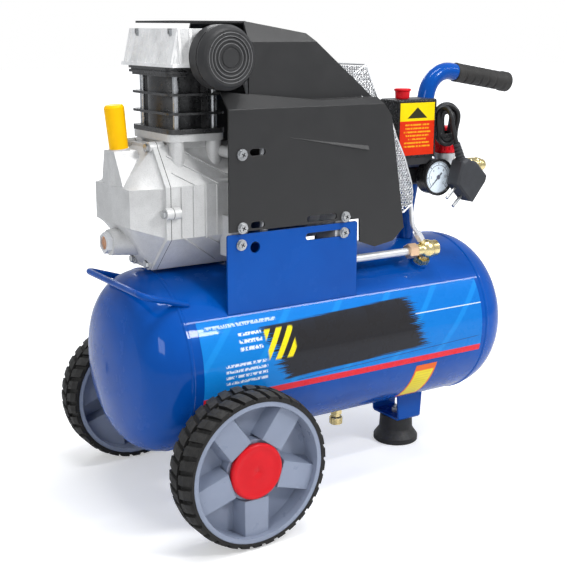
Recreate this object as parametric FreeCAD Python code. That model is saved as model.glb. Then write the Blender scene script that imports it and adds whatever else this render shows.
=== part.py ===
import FreeCAD, Part
import math
import os

# Wheeled direct-drive piston air compressor with one horizontal air tank.
# Millimetres, +Z up, floor at Z = 0, +X towards the pull handle, symmetric wheels about Y = 0.
# X positions below are measured from the wheel axle; save() moves them so that X = 0
# lies at the middle of the overall length.

V = FreeCAD.Vector

# ---------------------------------------------------------------- fits and gaps
RUN_FIT = 0.05            # radial clearance of a running shaft
PIECE_GAP = 0.5           # gap between pieces that move past each other
OPEN_PIVOT_GAP = 0.3      # crank pin end to crank web

# ---------------------------------------------------------------- air tank
TANK_R = 117.0
TANK_WALL = 2.5
TANK_AXIS_Z = 193.0
TANK_X0 = -46.0
TANK_LENGTH = 471.0
DOME_DEPTH = 61.0
KNUCKLE_R = 52.0
WELD_HEIGHT = 1.1
WELD_WIDTH = 6.0
BUNG_RISE = 5.0
TANK_X1 = TANK_X0 + TANK_LENGTH
TANK_TOP_Z = TANK_AXIS_Z + TANK_R
TANK_BOTTOM_Z = TANK_AXIS_Z - TANK_R

# ---------------------------------------------------------------- lifting loop
LOOP_ROD_R = 4.0
LOOP_REACH_X = TANK_X0 - 47.0
LOOP_HALF_WIDTH = 87.0
LOOP_BAR_Z = TANK_TOP_Z - 11.0
LOOP_FOOT_Y = 78.0
LOOP_BEND_R = 14.0

# ---------------------------------------------------------------- wheels
WHEEL_R = 96.3
TYRE_WIDTH = 51.0
TYRE_THICK = 8.8
TYRE_SHOULDER = 6.5
TREAD_DEPTH = 3.0
TREAD_PITCHES = 26
TREAD_GROOVE = 4.5
TRACK_OUTER_Y = 192.0
RIM_WALL = 6.0
RIM_INSET = 1.0
SPOKES = 5
SPOKE_WIDTH = 33.0
SPOKE_TIP_WIDTH = 32.0
SPOKE_DRAFT = 5.0
SPOKE_RECESS = 8.0
SPOKE_WALL = 3.0
WEB_THICK = 4.0
WEB_RECESS = 28.0
HUB_R = 19.0
CAP_SEAT_R = 38.0
CAP_R = 34.7
CAP_RECESS = 10.5
CAP_THICK = 3.5
AXLE_R = 8.0
AXLE_Z = WHEEL_R
RIM_R = WHEEL_R - TYRE_THICK
TRACK_INNER_Y = TRACK_OUTER_Y - TYRE_WIDTH
CAP_FACE_Y = TRACK_OUTER_Y - CAP_RECESS

# ---------------------------------------------------------------- axle bracket
BRACKET_T = 4.0
BRACKET_HALF_X = 22.0
BRACKET_HALF_Y = 132.0
GUSSET_T = 3.0
GUSSET_RISE = 36.0
BOLT_HEAD = 6.0
BOLT_HEAD_R = 12.5
WASHER_T = 2.0
WASHER_R = 15.0
NUT_T = 9.0

# ---------------------------------------------------------------- front foot
FOOT_X = 360.0
FOOT_R = 33.0
FOOT_RIM_H = 8.0
FOOT_SHOULDER_H = 18.0
FOOT_NECK_R = 25.0
FOOT_H = 40.0
FOOT_STRAP_T = 3.0
FOOT_STRAP_HALF_Y = 31.0
FOOT_STRAP_BASE = 40.0
FOOT_STRAP_TOP = 46.0
FOOT_BOLT_R = 4.0

# ---------------------------------------------------------------- handle
HANDLE_R = 12.0
HANDLE_WALL = 2.0
HANDLE_X = 366.0
HANDLE_KNEE_Z = TANK_TOP_Z + 42.0
HANDLE_CORNER_X = 405.2
HANDLE_CORNER_Z = TANK_TOP_Z + 240.3
HANDLE_BEND_R = 38.0
HANDLE_KNEE_R = 110.0
GRIP_DROP_DEG = 8.9
GRIP_START = 44.0
GRIP_LENGTH = 108.0
GRIP_R = 13.6
GRIP_END_R = 14.6
GRIP_CAP = 6.0
GRIP_RIBS = 5

# ---------------------------------------------------------------- pump and motor axis
SHAFT_RISE = 81.0          # shaft above the top of the tank
SHAFT_Z = TANK_TOP_Z + SHAFT_RISE
SHAFT_R = 10.0
CRANK_THROW = 20.0
CASE_HALF_Y = 68.0
CASE_TOP_HALF_Y = 34.0
CASE_BOTTOM_HALF_Y = 26.0
CASE_TOP = 77.0
CASE_SHOULDER = 31.0
CASE_HIP = -32.0
CASE_BOTTOM = -76.0
CASE_X0 = -46.0
CASE_X1 = 56.0
CASE_WALL = 4.0
CASE_BULKHEAD_X = 22.0
CASE_BULKHEAD_T = 18.0
CASE_RIB = 1.6
CASE_RIB_T = 2.2
CASE_RIBS = 6
CASE_UPPER_RIBS = [(31.0, 0.18, 90.0, 0.92), (7.0, 0.27, 64.0, 0.99), (7.0, 0.67, 32.0, 0.99)]
CASE_LOWER_RIBS = [(18.0, 0.02, 77.0, 0.87), (47.0, 0.02, 96.0, 0.6), (76.0, 0.02, 99.0, 0.3)]
GASKET_T = 0.8
COVER_FLANGE_T = 6.0
COVER_DEPTH = 44.0
COVER_FACE_HALF_Y = 49.0
COVER_FACE_HALF_Z = 23.0
COVER_BOSS_R = 7.0
COVER_BOLT_R = 3.0
COVER_BOLT_HEAD_R = 5.0
COVER_BOLTS = [(CASE_TOP_HALF_Y - 5.0, CASE_TOP - 3.0), (CASE_HALF_Y + 3.0, 0.0),
               (CASE_BOTTOM_HALF_Y - 6.0, CASE_BOTTOM + 7.0)]
PLUG_X = -80.0
OIL_PLUG_R = 11.8
OIL_PLUG_H = 52.0
OIL_NECK_R = 8.0
OIL_BOSS_Z = SHAFT_Z + 72.0
OIL_PLUG_LEAN = 5.5
OIL_BOSS_R = 12.5
SIGHT_Z = SHAFT_Z - 41.0
SIGHT_R = 16.0
SIGHT_BEZEL_R = 13.5
SIGHT_GLASS_R = 8.5
SIGHT_FACE_X = -101.0

# ---------------------------------------------------------------- cylinder and head
BORE_R = 23.5
BARREL_R = 36.0
CYL_Z0 = SHAFT_Z + 90.0
CYL_H = 70.0
FIN_HALF_X = 38.0
FIN_HALF_Y = 56.0
FIN_T = 3.0
FIN_CORNER = 12.0
BASE_FLANGE_T = 6.0
FINS = 3
STUD_X = 25.0
STUD_Y = 44.0
STUD_R = 4.0
STUD_BOSS_R = 9.0
VALVE_PLATE_T = 8.0
VALVE_PLATE_OVER = 3.0
HEAD_H = 44.0
HEAD_HALF_X = 42.0
HEAD_HALF_Y = 70.0
HEAD_TAPER = 10.0
HEAD_RIB_T = 3.0
HEAD_RIB = 3.5
HEAD_WALL = 8.0
HEAD_SCREW_R = 7.0
HEAD_SCREW_H = 8.0
CYL_TOP = CYL_Z0 + CYL_H
HEAD_Z0 = CYL_TOP + VALVE_PLATE_T
HEAD_Z1 = HEAD_Z0 + HEAD_H

# ---------------------------------------------------------------- piston and rod
DECK_CLEARANCE = 1.0
PISTON_CROWN = 16.0
PISTON_SKIRT = 24.0
PISTON_WALL = 4.0
WRIST_PIN_R = 6.0
ROD_EYE_R = 11.0
ROD_BIG_R = 16.0
ROD_T = 12.0
CRANK_PIN_R = 8.0
WEB_X0 = 9.0
CRANK_WEB_T = 10.0
CRANK_WEB_R = 33.0
PIN_TOP_Z = CYL_TOP - DECK_CLEARANCE - PISTON_CROWN
PIN_Z = PIN_TOP_Z - 2 * CRANK_THROW
ROD_END_Z = SHAFT_Z - CRANK_THROW

# ---------------------------------------------------------------- motor
STATOR_R = 62.0
STATOR_X0 = CASE_X1
STATOR_LENGTH = 104.0
ROTOR_R = 36.0
AIR_GAP = 0.5
WINDING_R0 = 41.0
WINDING_R1 = 55.0
WINDING_OVERHANG = 13.0
SHIELD_LENGTH = 42.0
SHIELD_WALL = 5.0
LUG_HALF_X = 11.0
LUG_TOP = -8.0
LUG_BOTTOM = -58.0
FAN_R = 70.0
FAN_HUB_R = 20.0
FAN_BLADES = 8
FAN_T = 22.0
FAN_GAP = 7.0
STATOR_X1 = STATOR_X0 + STATOR_LENGTH
SHIELD_X1 = STATOR_X1 + SHIELD_LENGTH
FAN_X0 = SHIELD_X1 + FAN_GAP
FRONT_LUG_X = 34.0
REAR_LUG_X = SHIELD_X1 - 15.0

# ---------------------------------------------------------------- saddle plates
PLATE_T = 3.0
PLATE_OUTER_Y = 0.8 * TANK_R
PLATE_X0 = 15.0
PLATE_X1 = 209.0
PLATE_TOP_Z = SHAFT_Z - 29.0
PLATE_BOLT_Z = SHAFT_Z - 42.0
PLATE_BOLT_R = 4.0
PLATE_SLOT = 69.0
PLATE_SLOT_H = 9.0
PLATE_HOLE_R = 7.0
BOLT_CAP_R = 7.0
BOLT_CAP_T = 4.5

# ---------------------------------------------------------------- shroud
SHROUD_T = 2.5
SHROUD_HALF_Y = PLATE_OUTER_Y + 2.9
SHROUD_SHOULDER_Z = SHAFT_Z + 120.0
SHROUD_LEDGE_Z = SHAFT_Z + 140.0
DUCT_HALF_Y = 78.0
DUCT_TOP_HALF_Y = 66.0
HEAD_ROOM = 9.0           # head to the visor's top face
DUCT_TOP_Z = HEAD_Z1 + HEAD_ROOM
DUCT_SHOULDER_Z = DUCT_TOP_Z - 24.0
DUCT_X0 = 55.0
VISOR_X0 = -29.0
VISOR_HALF_Y = 60.0
SHROUD_SCREW_Z = SHAFT_Z - 21.0
SHROUD_POST_Z = SHAFT_Z + 67.0
SHROUD_X0 = 16.0
SHROUD_X1 = 286.0
SHROUD_BOTTOM_Z = SHAFT_Z - 25.5
SHROUD_DROP_Z = SHAFT_Z - 58.0
SHROUD_TIP_Z = SHROUD_DROP_Z - 7.0
CREASE_RISE = 2.5
CREASE_H = 8.0
SHROUD_SLOT_H = 8.0
GUARD_HALF_Y = SHROUD_HALF_Y - 8.5
GUARD_TOP_HALF_Y = 72.0
GUARD_T = 1.5

# ---------------------------------------------------------------- air filter
FILTER_X = 15.0
FILTER_Z = HEAD_Z0 + 11.5
FILTER_R = 37.5
FILTER_FACE_R = 33.0
FILTER_Y0 = 71.0
FILTER_DEPTH = 34.0
FILTER_STUB_R = 12.0
FILTER_GROOVES = 3
FILTER_HOLES = 8

# ---------------------------------------------------------------- delivery line
VALVE_X = 336.0
VALVE_ANGLE = 35.7
VALVE_BALL_R = 13.0
VALVE_STANDOFF = 27.0
PIPE_R = 5.0
PIPE_RISER_X = 72.0
PIPE_BEND_R = 22.0
PIPE_NUT_R = 9.5
UNLOADER_R = 3.0
DRAIN_X = 248.0
DRAIN_R = 8.0
DRAIN_SCREW_R = 9.5

# ---------------------------------------------------------------- pressure switch group
SWITCH_X0 = 295.0
SWITCH_WIDTH = 68.0
SWITCH_DEPTH = 44.0
SWITCH_FRONT_Y = 66.0
SWITCH_BASE_H = 10.0
SWITCH_BASE_INSET = 3.5
SWITCH_COVER_H = 78.0
SWITCH_NECK = 7.0
SWITCH_WALL = 2.5
SWITCH_CORNER = 5.0
SWITCH_KNOB_X = 318.0
SWITCH_KNOB_R = 11.5
SWITCH_STEM_R = 7.0
SWITCH_KNOB_H = 13.0
SWITCH_KNOB_TRAVEL = 8.0
MANIFOLD_Y = 32.0
MANIFOLD_SIDE = 24.0
MANIFOLD_X0 = 312.0
MANIFOLD_X1 = 391.0
MANIFOLD_Z = TANK_TOP_Z + 95.0
NIPPLE_R = 8.0
GAUGE_X = 365.0
GAUGE_R = 25.5
GAUGE_DEPTH = 24.0
GAUGE_FRONT_Y = 72.0
GAUGE_WALL = 1.8
GAUGE_RELIEF = 1.0
NEEDLE_LENGTH = 17.0
REG_X = 408.0
REG_R = 16.0
REG_H = 44.0
REG_BOTTOM_Z = MANIFOLD_Z - 16.0
REG_KNOB_R = 17.0
REG_KNOB_H = 37.0
REG_STEM_R = 8.0
COUPLER_Z = MANIFOLD_Z + 6.0
COUPLER_R = 8.0
COUPLER_LENGTH = 56.0
COUPLER_BORE_R = 4.8
SLEEVE_R = 11.5
SLEEVE_LENGTH = 24.0
SLEEVE_TRAVEL = 5.0
SAFETY_X = 335.0
SAFETY_R = 7.0
SAFETY_LENGTH = 22.0

# ---------------------------------------------------------------- mains lead
CORD_R = 3.25
GLAND_R = 6.5
GLAND_LENGTH = 6.0
GLAND_Y = 44.0
GLAND_Z = MANIFOLD_Z + 73.0
HANK_TURN = 33.0          # hank swung towards the front, degrees
HANK_X = 385.5
HANK_Y = 59.0
HANK_WIDTH = 34.0
HANK_HEIGHT = 58.0
HANK_BOTTOM_Z = MANIFOLD_Z + 41.0
HANK_DEPTH = 26.0
HANK_RING = 13.0
PLUG_Y = 88.0
PLUG_HALF_T = 13.0
STRAIN_TOP = (379.3, MANIFOLD_Z + 47.5)
STRAIN_BOTTOM = (388.5, MANIFOLD_Z + 24.0)
STRAIN_R = 6.5
PIN_R = 2.4
PIN_LENGTH = 19.0
PIN_SPACING = 17.0


# ================================================================ helpers
def box(x0, x1, y0, y1, z0, z1):
    return Part.makeBox(x1 - x0, y1 - y0, z1 - z0, V(x0, y0, z0))


def rod(r, p0, p1):
    a = V(*p0)
    b = V(*p1)
    return Part.makeCylinder(r, (b - a).Length, a, b - a)


def cone(r0, r1, p0, p1):
    a = V(*p0)
    b = V(*p1)
    return Part.makeCone(r0, r1, (b - a).Length, a, b - a)


def hex_rod(r, p0, p1):
    """Hexagonal bar, r is the corner radius."""
    a = V(*p0)
    b = V(*p1)
    pts = [V(r * math.cos(math.radians(60 * i)), r * math.sin(math.radians(60 * i)), 0)
           for i in range(7)]
    bar = Part.Face(Part.makePolygon(pts)).extrude(V(0, 0, (b - a).Length))
    bar.Placement = FreeCAD.Placement(a, FreeCAD.Rotation(V(0, 0, 1), b - a))
    return bar


def prism_xz(points, y0, y1):
    pts = [V(x, y0, z) for x, z in points]
    return Part.Face(Part.makePolygon(pts + pts[:1])).extrude(V(0, y1 - y0, 0))


def prism_yz(points, x0, x1):
    pts = [V(x0, y, z) for y, z in points]
    return Part.Face(Part.makePolygon(pts + pts[:1])).extrude(V(x1 - x0, 0, 0))


def prism_xy(points, z0, z1):
    pts = [V(x, y, z0) for x, y in points]
    return Part.Face(Part.makePolygon(pts + pts[:1])).extrude(V(0, 0, z1 - z0))


def rounded_slab(half_x, half_y, z0, z1, corner, cx=0.0, cy=0.0):
    """Flat plate with four rounded upright corners."""
    slab = box(cx - half_x, cx + half_x, cy - half_y, cy + half_y, z0, z1)
    upright = [e for e in slab.Edges
               if abs(e.Vertexes[0].Z - e.Vertexes[1].Z) > 0.5 * (z1 - z0)]
    return slab.makeFillet(corner, upright)


def slot_y(cx, cz, length, height, y0, y1):
    """Round-ended slot cutter through a plate that faces Y."""
    r = height / 2
    a = cx - length / 2 + r
    b = cx + length / 2 - r
    bar = box(a, b, y0, y1, cz - r, cz + r)
    return bar.fuse([rod(r, (a, y0, cz), (a, y1, cz)), rod(r, (b, y0, cz), (b, y1, cz))])


def spin(points, origin, direction):
    """Solid of revolution; points are (along, radius) pairs, closed on the axis."""
    pts = [V(r, 0, a) for a, r in points]
    face = Part.Face(Part.makePolygon(pts + pts[:1]))
    solid = face.revolve(V(0, 0, 0), V(0, 0, 1), 360)
    solid.Placement = FreeCAD.Placement(V(*origin), FreeCAD.Rotation(V(0, 0, 1), V(*direction)))
    return solid


def union(first, *others):
    return first.fuse(list(others)).removeSplitter()


def mirror_y(shape):
    return shape.mirror(V(0, 0, 0), V(0, 1, 0))


def route_wire(points, radii):
    """Straight runs joined by tangent arcs; one radius per inner point."""
    pts = [V(*p) for p in points]
    edges = []
    last = pts[0]
    for i in range(1, len(pts) - 1):
        a = (pts[i - 1] - pts[i]).normalize()
        b = (pts[i + 1] - pts[i]).normalize()
        half = (math.pi - a.getAngle(b)) / 2
        reach = radii[i - 1] * math.tan(half)
        start = pts[i] + a * reach
        end = pts[i] + b * reach
        centre = pts[i] + (a + b).normalize() * (radii[i - 1] / math.cos(half))
        middle = centre + (pts[i] - centre).normalize() * radii[i - 1]
        if (start - last).Length > 1e-6:
            edges.append(Part.LineSegment(last, start).toShape())
        edges.append(Part.Arc(start, middle, end).toShape())
        last = end
    edges.append(Part.LineSegment(last, pts[-1]).toShape())
    return Part.Wire(edges)


def full_radii(points):
    """The largest tangent arcs that two neighbouring runs allow."""
    pts = [V(*p) for p in points]
    radii = []
    for i in range(1, len(pts) - 1):
        a = pts[i] - pts[i - 1]
        b = pts[i + 1] - pts[i]
        half = a.getAngle(b) / 2
        radii.append(0.45 * min(a.Length, b.Length) / math.tan(half))
    return radii


def tube(points, radii, r):
    """Round bar swept along a route."""
    wire = route_wire(points, radii)
    start = V(*points[0])
    along = V(*points[1]) - start
    circle = Part.Wire([Part.Circle(start, along, r).toShape()])
    return wire.makePipeShell([circle], True, False)


# ================================================================ air tank
def dome(x_end, side, inset):
    """Edge points of a torispherical head from its rim to its pole, as (rim, knuckle, crown) arcs."""
    radius = TANK_R - inset
    knuckle = KNUCKLE_R - inset
    depth = DOME_DEPTH - inset
    offset = TANK_R - KNUCKLE_R
    crown = (knuckle ** 2 - offset ** 2 - depth ** 2) / (2 * (knuckle - depth))
    tilt = math.asin(offset / (crown - knuckle))
    crown_x = depth - crown

    def at(cx, cr, r, angle):
        return V(x_end + side * (cx + r * math.cos(angle)), 0, cr + r * math.sin(angle))

    rim = at(0, offset, knuckle, math.pi / 2)
    mid_knuckle = at(0, offset, knuckle, (math.pi / 2 + tilt) / 2)
    joint = at(0, offset, knuckle, tilt)
    mid_crown = at(crown_x, 0, crown, tilt / 2)
    pole = at(crown_x, 0, crown, 0)
    return Part.Arc(rim, mid_knuckle, joint).toShape(), Part.Arc(joint, mid_crown, pole).toShape()


def tank_body(inset):
    k1, c1 = dome(TANK_X0, -1, inset)
    k2, c2 = dome(TANK_X1, 1, inset)
    radius = TANK_R - inset
    side = Part.LineSegment(V(TANK_X0, 0, radius), V(TANK_X1, 0, radius)).toShape()
    axis = Part.LineSegment(c1.Vertexes[-1].Point, c2.Vertexes[-1].Point).toShape()
    wire = Part.Wire(Part.__sortEdges__([k1, c1, side, k2, c2, axis]))
    solid = Part.Face(wire).revolve(V(0, 0, 0), V(1, 0, 0), 360)
    solid.translate(V(0, 0, TANK_AXIS_Z))
    return solid


def radial_point(rise):
    """A point on the check valve's line, at a height above the tank wall."""
    a = math.radians(VALVE_ANGLE)
    r = TANK_R + rise
    return (VALVE_X, -r * math.sin(a), TANK_AXIS_Z + r * math.cos(a))


def air_tank():
    outer = tank_body(0)
    welds = []
    for x in (TANK_X0, TANK_X1):
        ring = [(-WELD_WIDTH / 2, TANK_R - TANK_WALL), (-WELD_WIDTH / 2, TANK_R),
                (-WELD_WIDTH / 5, TANK_R + WELD_HEIGHT), (WELD_WIDTH / 5, TANK_R + WELD_HEIGHT),
                (WELD_WIDTH / 2, TANK_R), (WELD_WIDTH / 2, TANK_R - TANK_WALL)]
        welds.append(spin(ring, (x, 0, TANK_AXIS_Z), (1, 0, 0)))
    valve_bung = rod(DRAIN_R + 5, radial_point(-TANK_WALL - 2), radial_point(BUNG_RISE))
    drain_bung = rod(DRAIN_R + 3, (DRAIN_X, 0, TANK_BOTTOM_Z - BUNG_RISE),
                     (DRAIN_X, 0, TANK_BOTTOM_Z + TANK_WALL + 2))
    body = outer.fuse(welds + [valve_bung, drain_bung])
    body = body.cut(tank_body(TANK_WALL))
    holes = [rod(DRAIN_R - 4, (DRAIN_X, 0, TANK_BOTTOM_Z - BUNG_RISE - 1),
                 (DRAIN_X, 0, TANK_BOTTOM_Z + TANK_WALL + 6)),
             rod(DRAIN_R - 3, radial_point(-TANK_WALL - 9), radial_point(BUNG_RISE + 1)),
             rod(HANDLE_R - HANDLE_WALL - 2, (HANDLE_X, 0, TANK_TOP_Z - 10),
                 (HANDLE_X, 0, TANK_TOP_Z + 10))]
    return body.cut(holes)


def lifting_loop():
    foot_z = TANK_AXIS_Z + math.sqrt(TANK_R ** 2 - LOOP_FOOT_Y ** 2)
    foot_x = TANK_X0 + 14
    pts = [(foot_x, -LOOP_FOOT_Y, foot_z),
           (LOOP_REACH_X, -LOOP_HALF_WIDTH, LOOP_BAR_Z),
           (LOOP_REACH_X, LOOP_HALF_WIDTH, LOOP_BAR_Z),
           (foot_x, LOOP_FOOT_Y, foot_z)]
    loop = tube(pts, [LOOP_BEND_R, LOOP_BEND_R], LOOP_ROD_R)
    weld = WELD_HEIGHT + 0.2
    ring = rod(TANK_R + weld, (TANK_X0 - WELD_WIDTH / 2, 0, TANK_AXIS_Z),
               (TANK_X0 + WELD_WIDTH / 2, 0, TANK_AXIS_Z))
    return loop.cut([tank_body(0), ring])


# ================================================================ wheels
def side_of(y):
    return -1 if y < 0 else 1


def wheel_point(x, y, z):
    return (x, y, z)


def tyre(side):
    r0 = RIM_R
    half = TYRE_WIDTH / 2
    mid = side * (TRACK_OUTER_Y - half)
    groove = 2.0
    ring = [(-half, r0), (-half, WHEEL_R - TYRE_SHOULDER * 0.8),
            (-half + TYRE_SHOULDER * 0.7, WHEEL_R), (-groove, WHEEL_R),
            (-groove, WHEEL_R - TREAD_DEPTH), (groove, WHEEL_R - TREAD_DEPTH),
            (groove, WHEEL_R), (half - TYRE_SHOULDER * 0.7, WHEEL_R),
            (half, WHEEL_R - TYRE_SHOULDER * 0.8), (half, r0)]
    body = spin(ring, (0, mid, AXLE_Z), (0, 1, 0))
    cuts = []
    for row in (-1, 1):
        for i in range(TREAD_PITCHES):
            angle = 360.0 * (i + 0.25 * (row + 1)) / TREAD_PITCHES
            a = min(row * groove, row * (half + 1))
            b = max(row * groove, row * (half + 1))
            cutter = box(-TREAD_GROOVE / 2, TREAD_GROOVE / 2, mid + a, mid + b,
                         WHEEL_R - TREAD_DEPTH, WHEEL_R + 2)
            cutter.rotate(V(0, mid, 0), V(0, 0, 1), row * 12)
            cutter.rotate(V(0, mid, 0), V(0, 1, 0), angle)
            cutter.translate(V(0, 0, AXLE_Z))
            cuts.append(cutter)
    return body.cut(cuts)


def spoke_outline(width, tip, r0, r1):
    return [(-width / 2, r0), (width / 2, r0), (tip / 2, r1), (-tip / 2, r1)]


def spoke_block(width, tip, draft, r0, r1, y0, y1):
    wires = []
    for y, d in ((y0, draft), (y1, 0)):
        pts = [V(x, y, z) for x, z in spoke_outline(width + 2 * d, tip + 2 * d, r0, r1)]
        wires.append(Part.makePolygon(pts + pts[:1]))
    return Part.makeLoft(wires, True, True)


def wheel_hub(side):
    """Moulded five-spoke wheel, hollow behind its spokes."""
    s = side
    y_out = TRACK_OUTER_Y - RIM_INSET
    y_in = TRACK_INNER_Y + RIM_INSET
    y_web = TRACK_OUTER_Y - WEB_RECESS
    y_spoke = TRACK_OUTER_Y - SPOKE_RECESS
    seat_top = CAP_FACE_Y - CAP_THICK
    rim = rod(RIM_R, (0, y_in, 0), (0, y_out, 0)).cut(
        rod(RIM_R - RIM_WALL, (0, y_in - 1, 0), (0, y_out + 1, 0)))
    web = rod(RIM_R - RIM_WALL + 1, (0, y_web - WEB_THICK, 0), (0, y_web, 0))
    boss = rod(HUB_R, (0, y_in - 2, 0), (0, head_seat_y(), 0))
    seat = rod(CAP_SEAT_R, (0, y_web - WEB_THICK, 0), (0, seat_top, 0))
    body = rim.fuse([web, boss, seat])
    r0 = CAP_R + PIECE_GAP
    r1 = RIM_R - RIM_WALL + 1
    spokes = []
    pockets = []
    for i in range(SPOKES):
        angle = 360.0 * i / SPOKES + 180
        outer = spoke_block(SPOKE_WIDTH, SPOKE_TIP_WIDTH, SPOKE_DRAFT, r0, r1, y_web - 1, y_spoke)
        inner = prism_xz(spoke_outline(SPOKE_WIDTH - 2 * SPOKE_WALL,
                                       SPOKE_TIP_WIDTH - 2 * SPOKE_WALL, r0 + 9, r1 - 2),
                         y_web - WEB_THICK - 1, y_spoke - SPOKE_WALL)
        outer.rotate(V(0, 0, 0), V(0, 1, 0), angle)
        inner.rotate(V(0, 0, 0), V(0, 1, 0), angle)
        spokes.append(outer)
        pockets.append(inner)
    body = body.fuse(spokes)
    cavity = rod(CAP_SEAT_R - 6, (0, head_seat_y(), 0), (0, seat_top + 1, 0))
    back = rod(CAP_SEAT_R - 4, (0, y_in - 3, 0), (0, y_web - WEB_THICK - 0.5, 0)).cut(
        rod(HUB_R, (0, y_in - 4, 0), (0, y_web, 0)))
    bore = rod(AXLE_R + RUN_FIT, (0, y_in - 5, 0), (0, y_out, 0))
    body = body.cut(pockets + [cavity, back, bore])
    if s < 0:
        body = mirror_y(body)
    body.translate(V(0, 0, AXLE_Z))
    return body


def head_seat_y():
    """Outer end of the hub's bearing, under the washer and the bolt head."""
    return CAP_FACE_Y - CAP_THICK - PIECE_GAP - BOLT_HEAD - WASHER_T - PIECE_GAP


def hub_cap(side):
    y = CAP_FACE_Y
    lip = CAP_SEAT_R - 6
    pts = [(y - CAP_THICK - 5, lip - 2.5), (y - CAP_THICK - 5, lip), (y - CAP_THICK, lip),
           (y - CAP_THICK, CAP_R), (y - 1.2, CAP_R), (y, CAP_R - 3), (y, 0),
           (y - CAP_THICK + 1, 0), (y - CAP_THICK + 1, lip - 2.5)]
    cap = spin(pts, (0, 0, 0), (0, 1, 0))
    if side < 0:
        cap = mirror_y(cap)
    cap.translate(V(0, 0, AXLE_Z))
    return cap


def axle_bracket():
    z0 = TANK_BOTTOM_Z - BRACKET_T
    y0 = BRACKET_HALF_Y - BRACKET_T
    hx = BRACKET_HALF_X
    strap = box(-hx, hx, -BRACKET_HALF_Y, BRACKET_HALF_Y, z0, TANK_BOTTOM_Z)
    parts = []
    for s in (-1, 1):
        a = min(s * y0, s * BRACKET_HALF_Y)
        parts.append(box(-hx, hx, a, a + BRACKET_T, z0, AXLE_Z))
        parts.append(rod(hx, (0, a, AXLE_Z), (0, a + BRACKET_T, AXLE_Z)))
        inner = TANK_R * 0.25
        for x in (-hx, hx - GUSSET_T):
            pts = [(s * inner, TANK_BOTTOM_Z), (s * y0, TANK_BOTTOM_Z),
                   (s * y0, AXLE_Z + hx * 0.7), (s * (y0 - 14), TANK_BOTTOM_Z + GUSSET_RISE),
                   (s * inner, TANK_BOTTOM_Z + GUSSET_RISE)]
            parts.append(prism_yz(pts, x, x + GUSSET_T))
    body = strap.fuse(parts).cut(tank_body(0))
    hole = rod(AXLE_R, (0, -BRACKET_HALF_Y - 1, AXLE_Z), (0, BRACKET_HALF_Y + 1, AXLE_Z))
    return body.cut(hole).removeSplitter()


def axle_bolts():
    bolts = []
    y0 = BRACKET_HALF_Y - BRACKET_T
    seat = head_seat_y() + PIECE_GAP
    bolt = hex_rod(BOLT_HEAD_R, (0, seat + WASHER_T, AXLE_Z), (0, seat + WASHER_T + BOLT_HEAD, AXLE_Z))
    washer = rod(WASHER_R, (0, seat, AXLE_Z), (0, seat + WASHER_T, AXLE_Z))
    shank = rod(AXLE_R, (0, y0 - NUT_T - 3, AXLE_Z), (0, seat + 1, AXLE_Z))
    nut = hex_rod(BOLT_HEAD_R, (0, y0 - NUT_T, AXLE_Z), (0, y0, AXLE_Z))
    collar = rod(WASHER_R - 2, (0, BRACKET_HALF_Y, AXLE_Z), (0, BRACKET_HALF_Y + WASHER_T, AXLE_Z))
    one = union(bolt, washer, shank, nut, collar)
    bolts.append(one)
    bolts.append(mirror_y(one))
    return Part.makeCompound(bolts)


# ================================================================ front foot
def rubber_foot():
    pts = [(0, FOOT_BOLT_R + 6), (0, FOOT_R - 1.5), (1.5, FOOT_R), (FOOT_RIM_H, FOOT_R),
           (FOOT_SHOULDER_H, FOOT_NECK_R + 1), (FOOT_SHOULDER_H + 2, FOOT_NECK_R),
           (FOOT_H - 2, FOOT_NECK_R - 1), (FOOT_H, FOOT_NECK_R - 2), (FOOT_H, FOOT_BOLT_R),
           (10, FOOT_BOLT_R), (10, FOOT_BOLT_R + 6)]
    return spin(pts, (FOOT_X, 0, 0), (0, 0, 1))


def foot_bolt():
    head = hex_rod(FOOT_BOLT_R + 3.5, (FOOT_X, 0, 4), (FOOT_X, 0, 10))
    shank = rod(FOOT_BOLT_R, (FOOT_X, 0, 9), (FOOT_X, 0, FOOT_H + FOOT_STRAP_T + 10))
    z = FOOT_H + FOOT_STRAP_T
    nut = hex_rod(FOOT_BOLT_R + 3.5, (FOOT_X, 0, z), (FOOT_X, 0, z + 7))
    return union(head, shank, nut)


def foot_bracket():
    """Bent strap: a base on the rubber foot and two legs welded to the tank."""
    t = FOOT_STRAP_T
    hy = FOOT_STRAP_HALF_Y
    z0 = FOOT_H
    top = TANK_AXIS_Z - math.sqrt(TANK_R ** 2 - hy ** 2) + 4
    outer = prism_yz([(-hy, z0 + t), (-hy + t, z0), (hy - t, z0), (hy, z0 + t),
                      (hy, top), (-hy, top)], FOOT_X - FOOT_STRAP_TOP, FOOT_X + FOOT_STRAP_TOP)
    inner = prism_yz([(-hy + t, z0 + t + 1), (-hy + t + 1, z0 + t), (hy - t - 1, z0 + t),
                      (hy - t, z0 + t + 1), (hy - t, top + 5), (-hy + t, top + 5)],
                     FOOT_X - FOOT_STRAP_TOP - 1, FOOT_X + FOOT_STRAP_TOP + 1)
    a = FOOT_STRAP_BASE / 2
    b = FOOT_STRAP_TOP / 2
    face = prism_xz([(FOOT_X - a, z0 - 1), (FOOT_X + a, z0 - 1), (FOOT_X + b, top + 1),
                     (FOOT_X - b, top + 1)], -hy - 1, hy + 1)
    strap = outer.cut(inner).common(face)
    hole = rod(FOOT_BOLT_R, (FOOT_X, 0, z0 - 2), (FOOT_X, 0, z0 + t + 2))
    return strap.cut([tank_body(0), hole]).removeSplitter()


# ================================================================ handle
def grip_axis():
    a = math.radians(GRIP_DROP_DEG)
    return V(math.cos(a), 0, -math.sin(a))


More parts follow.
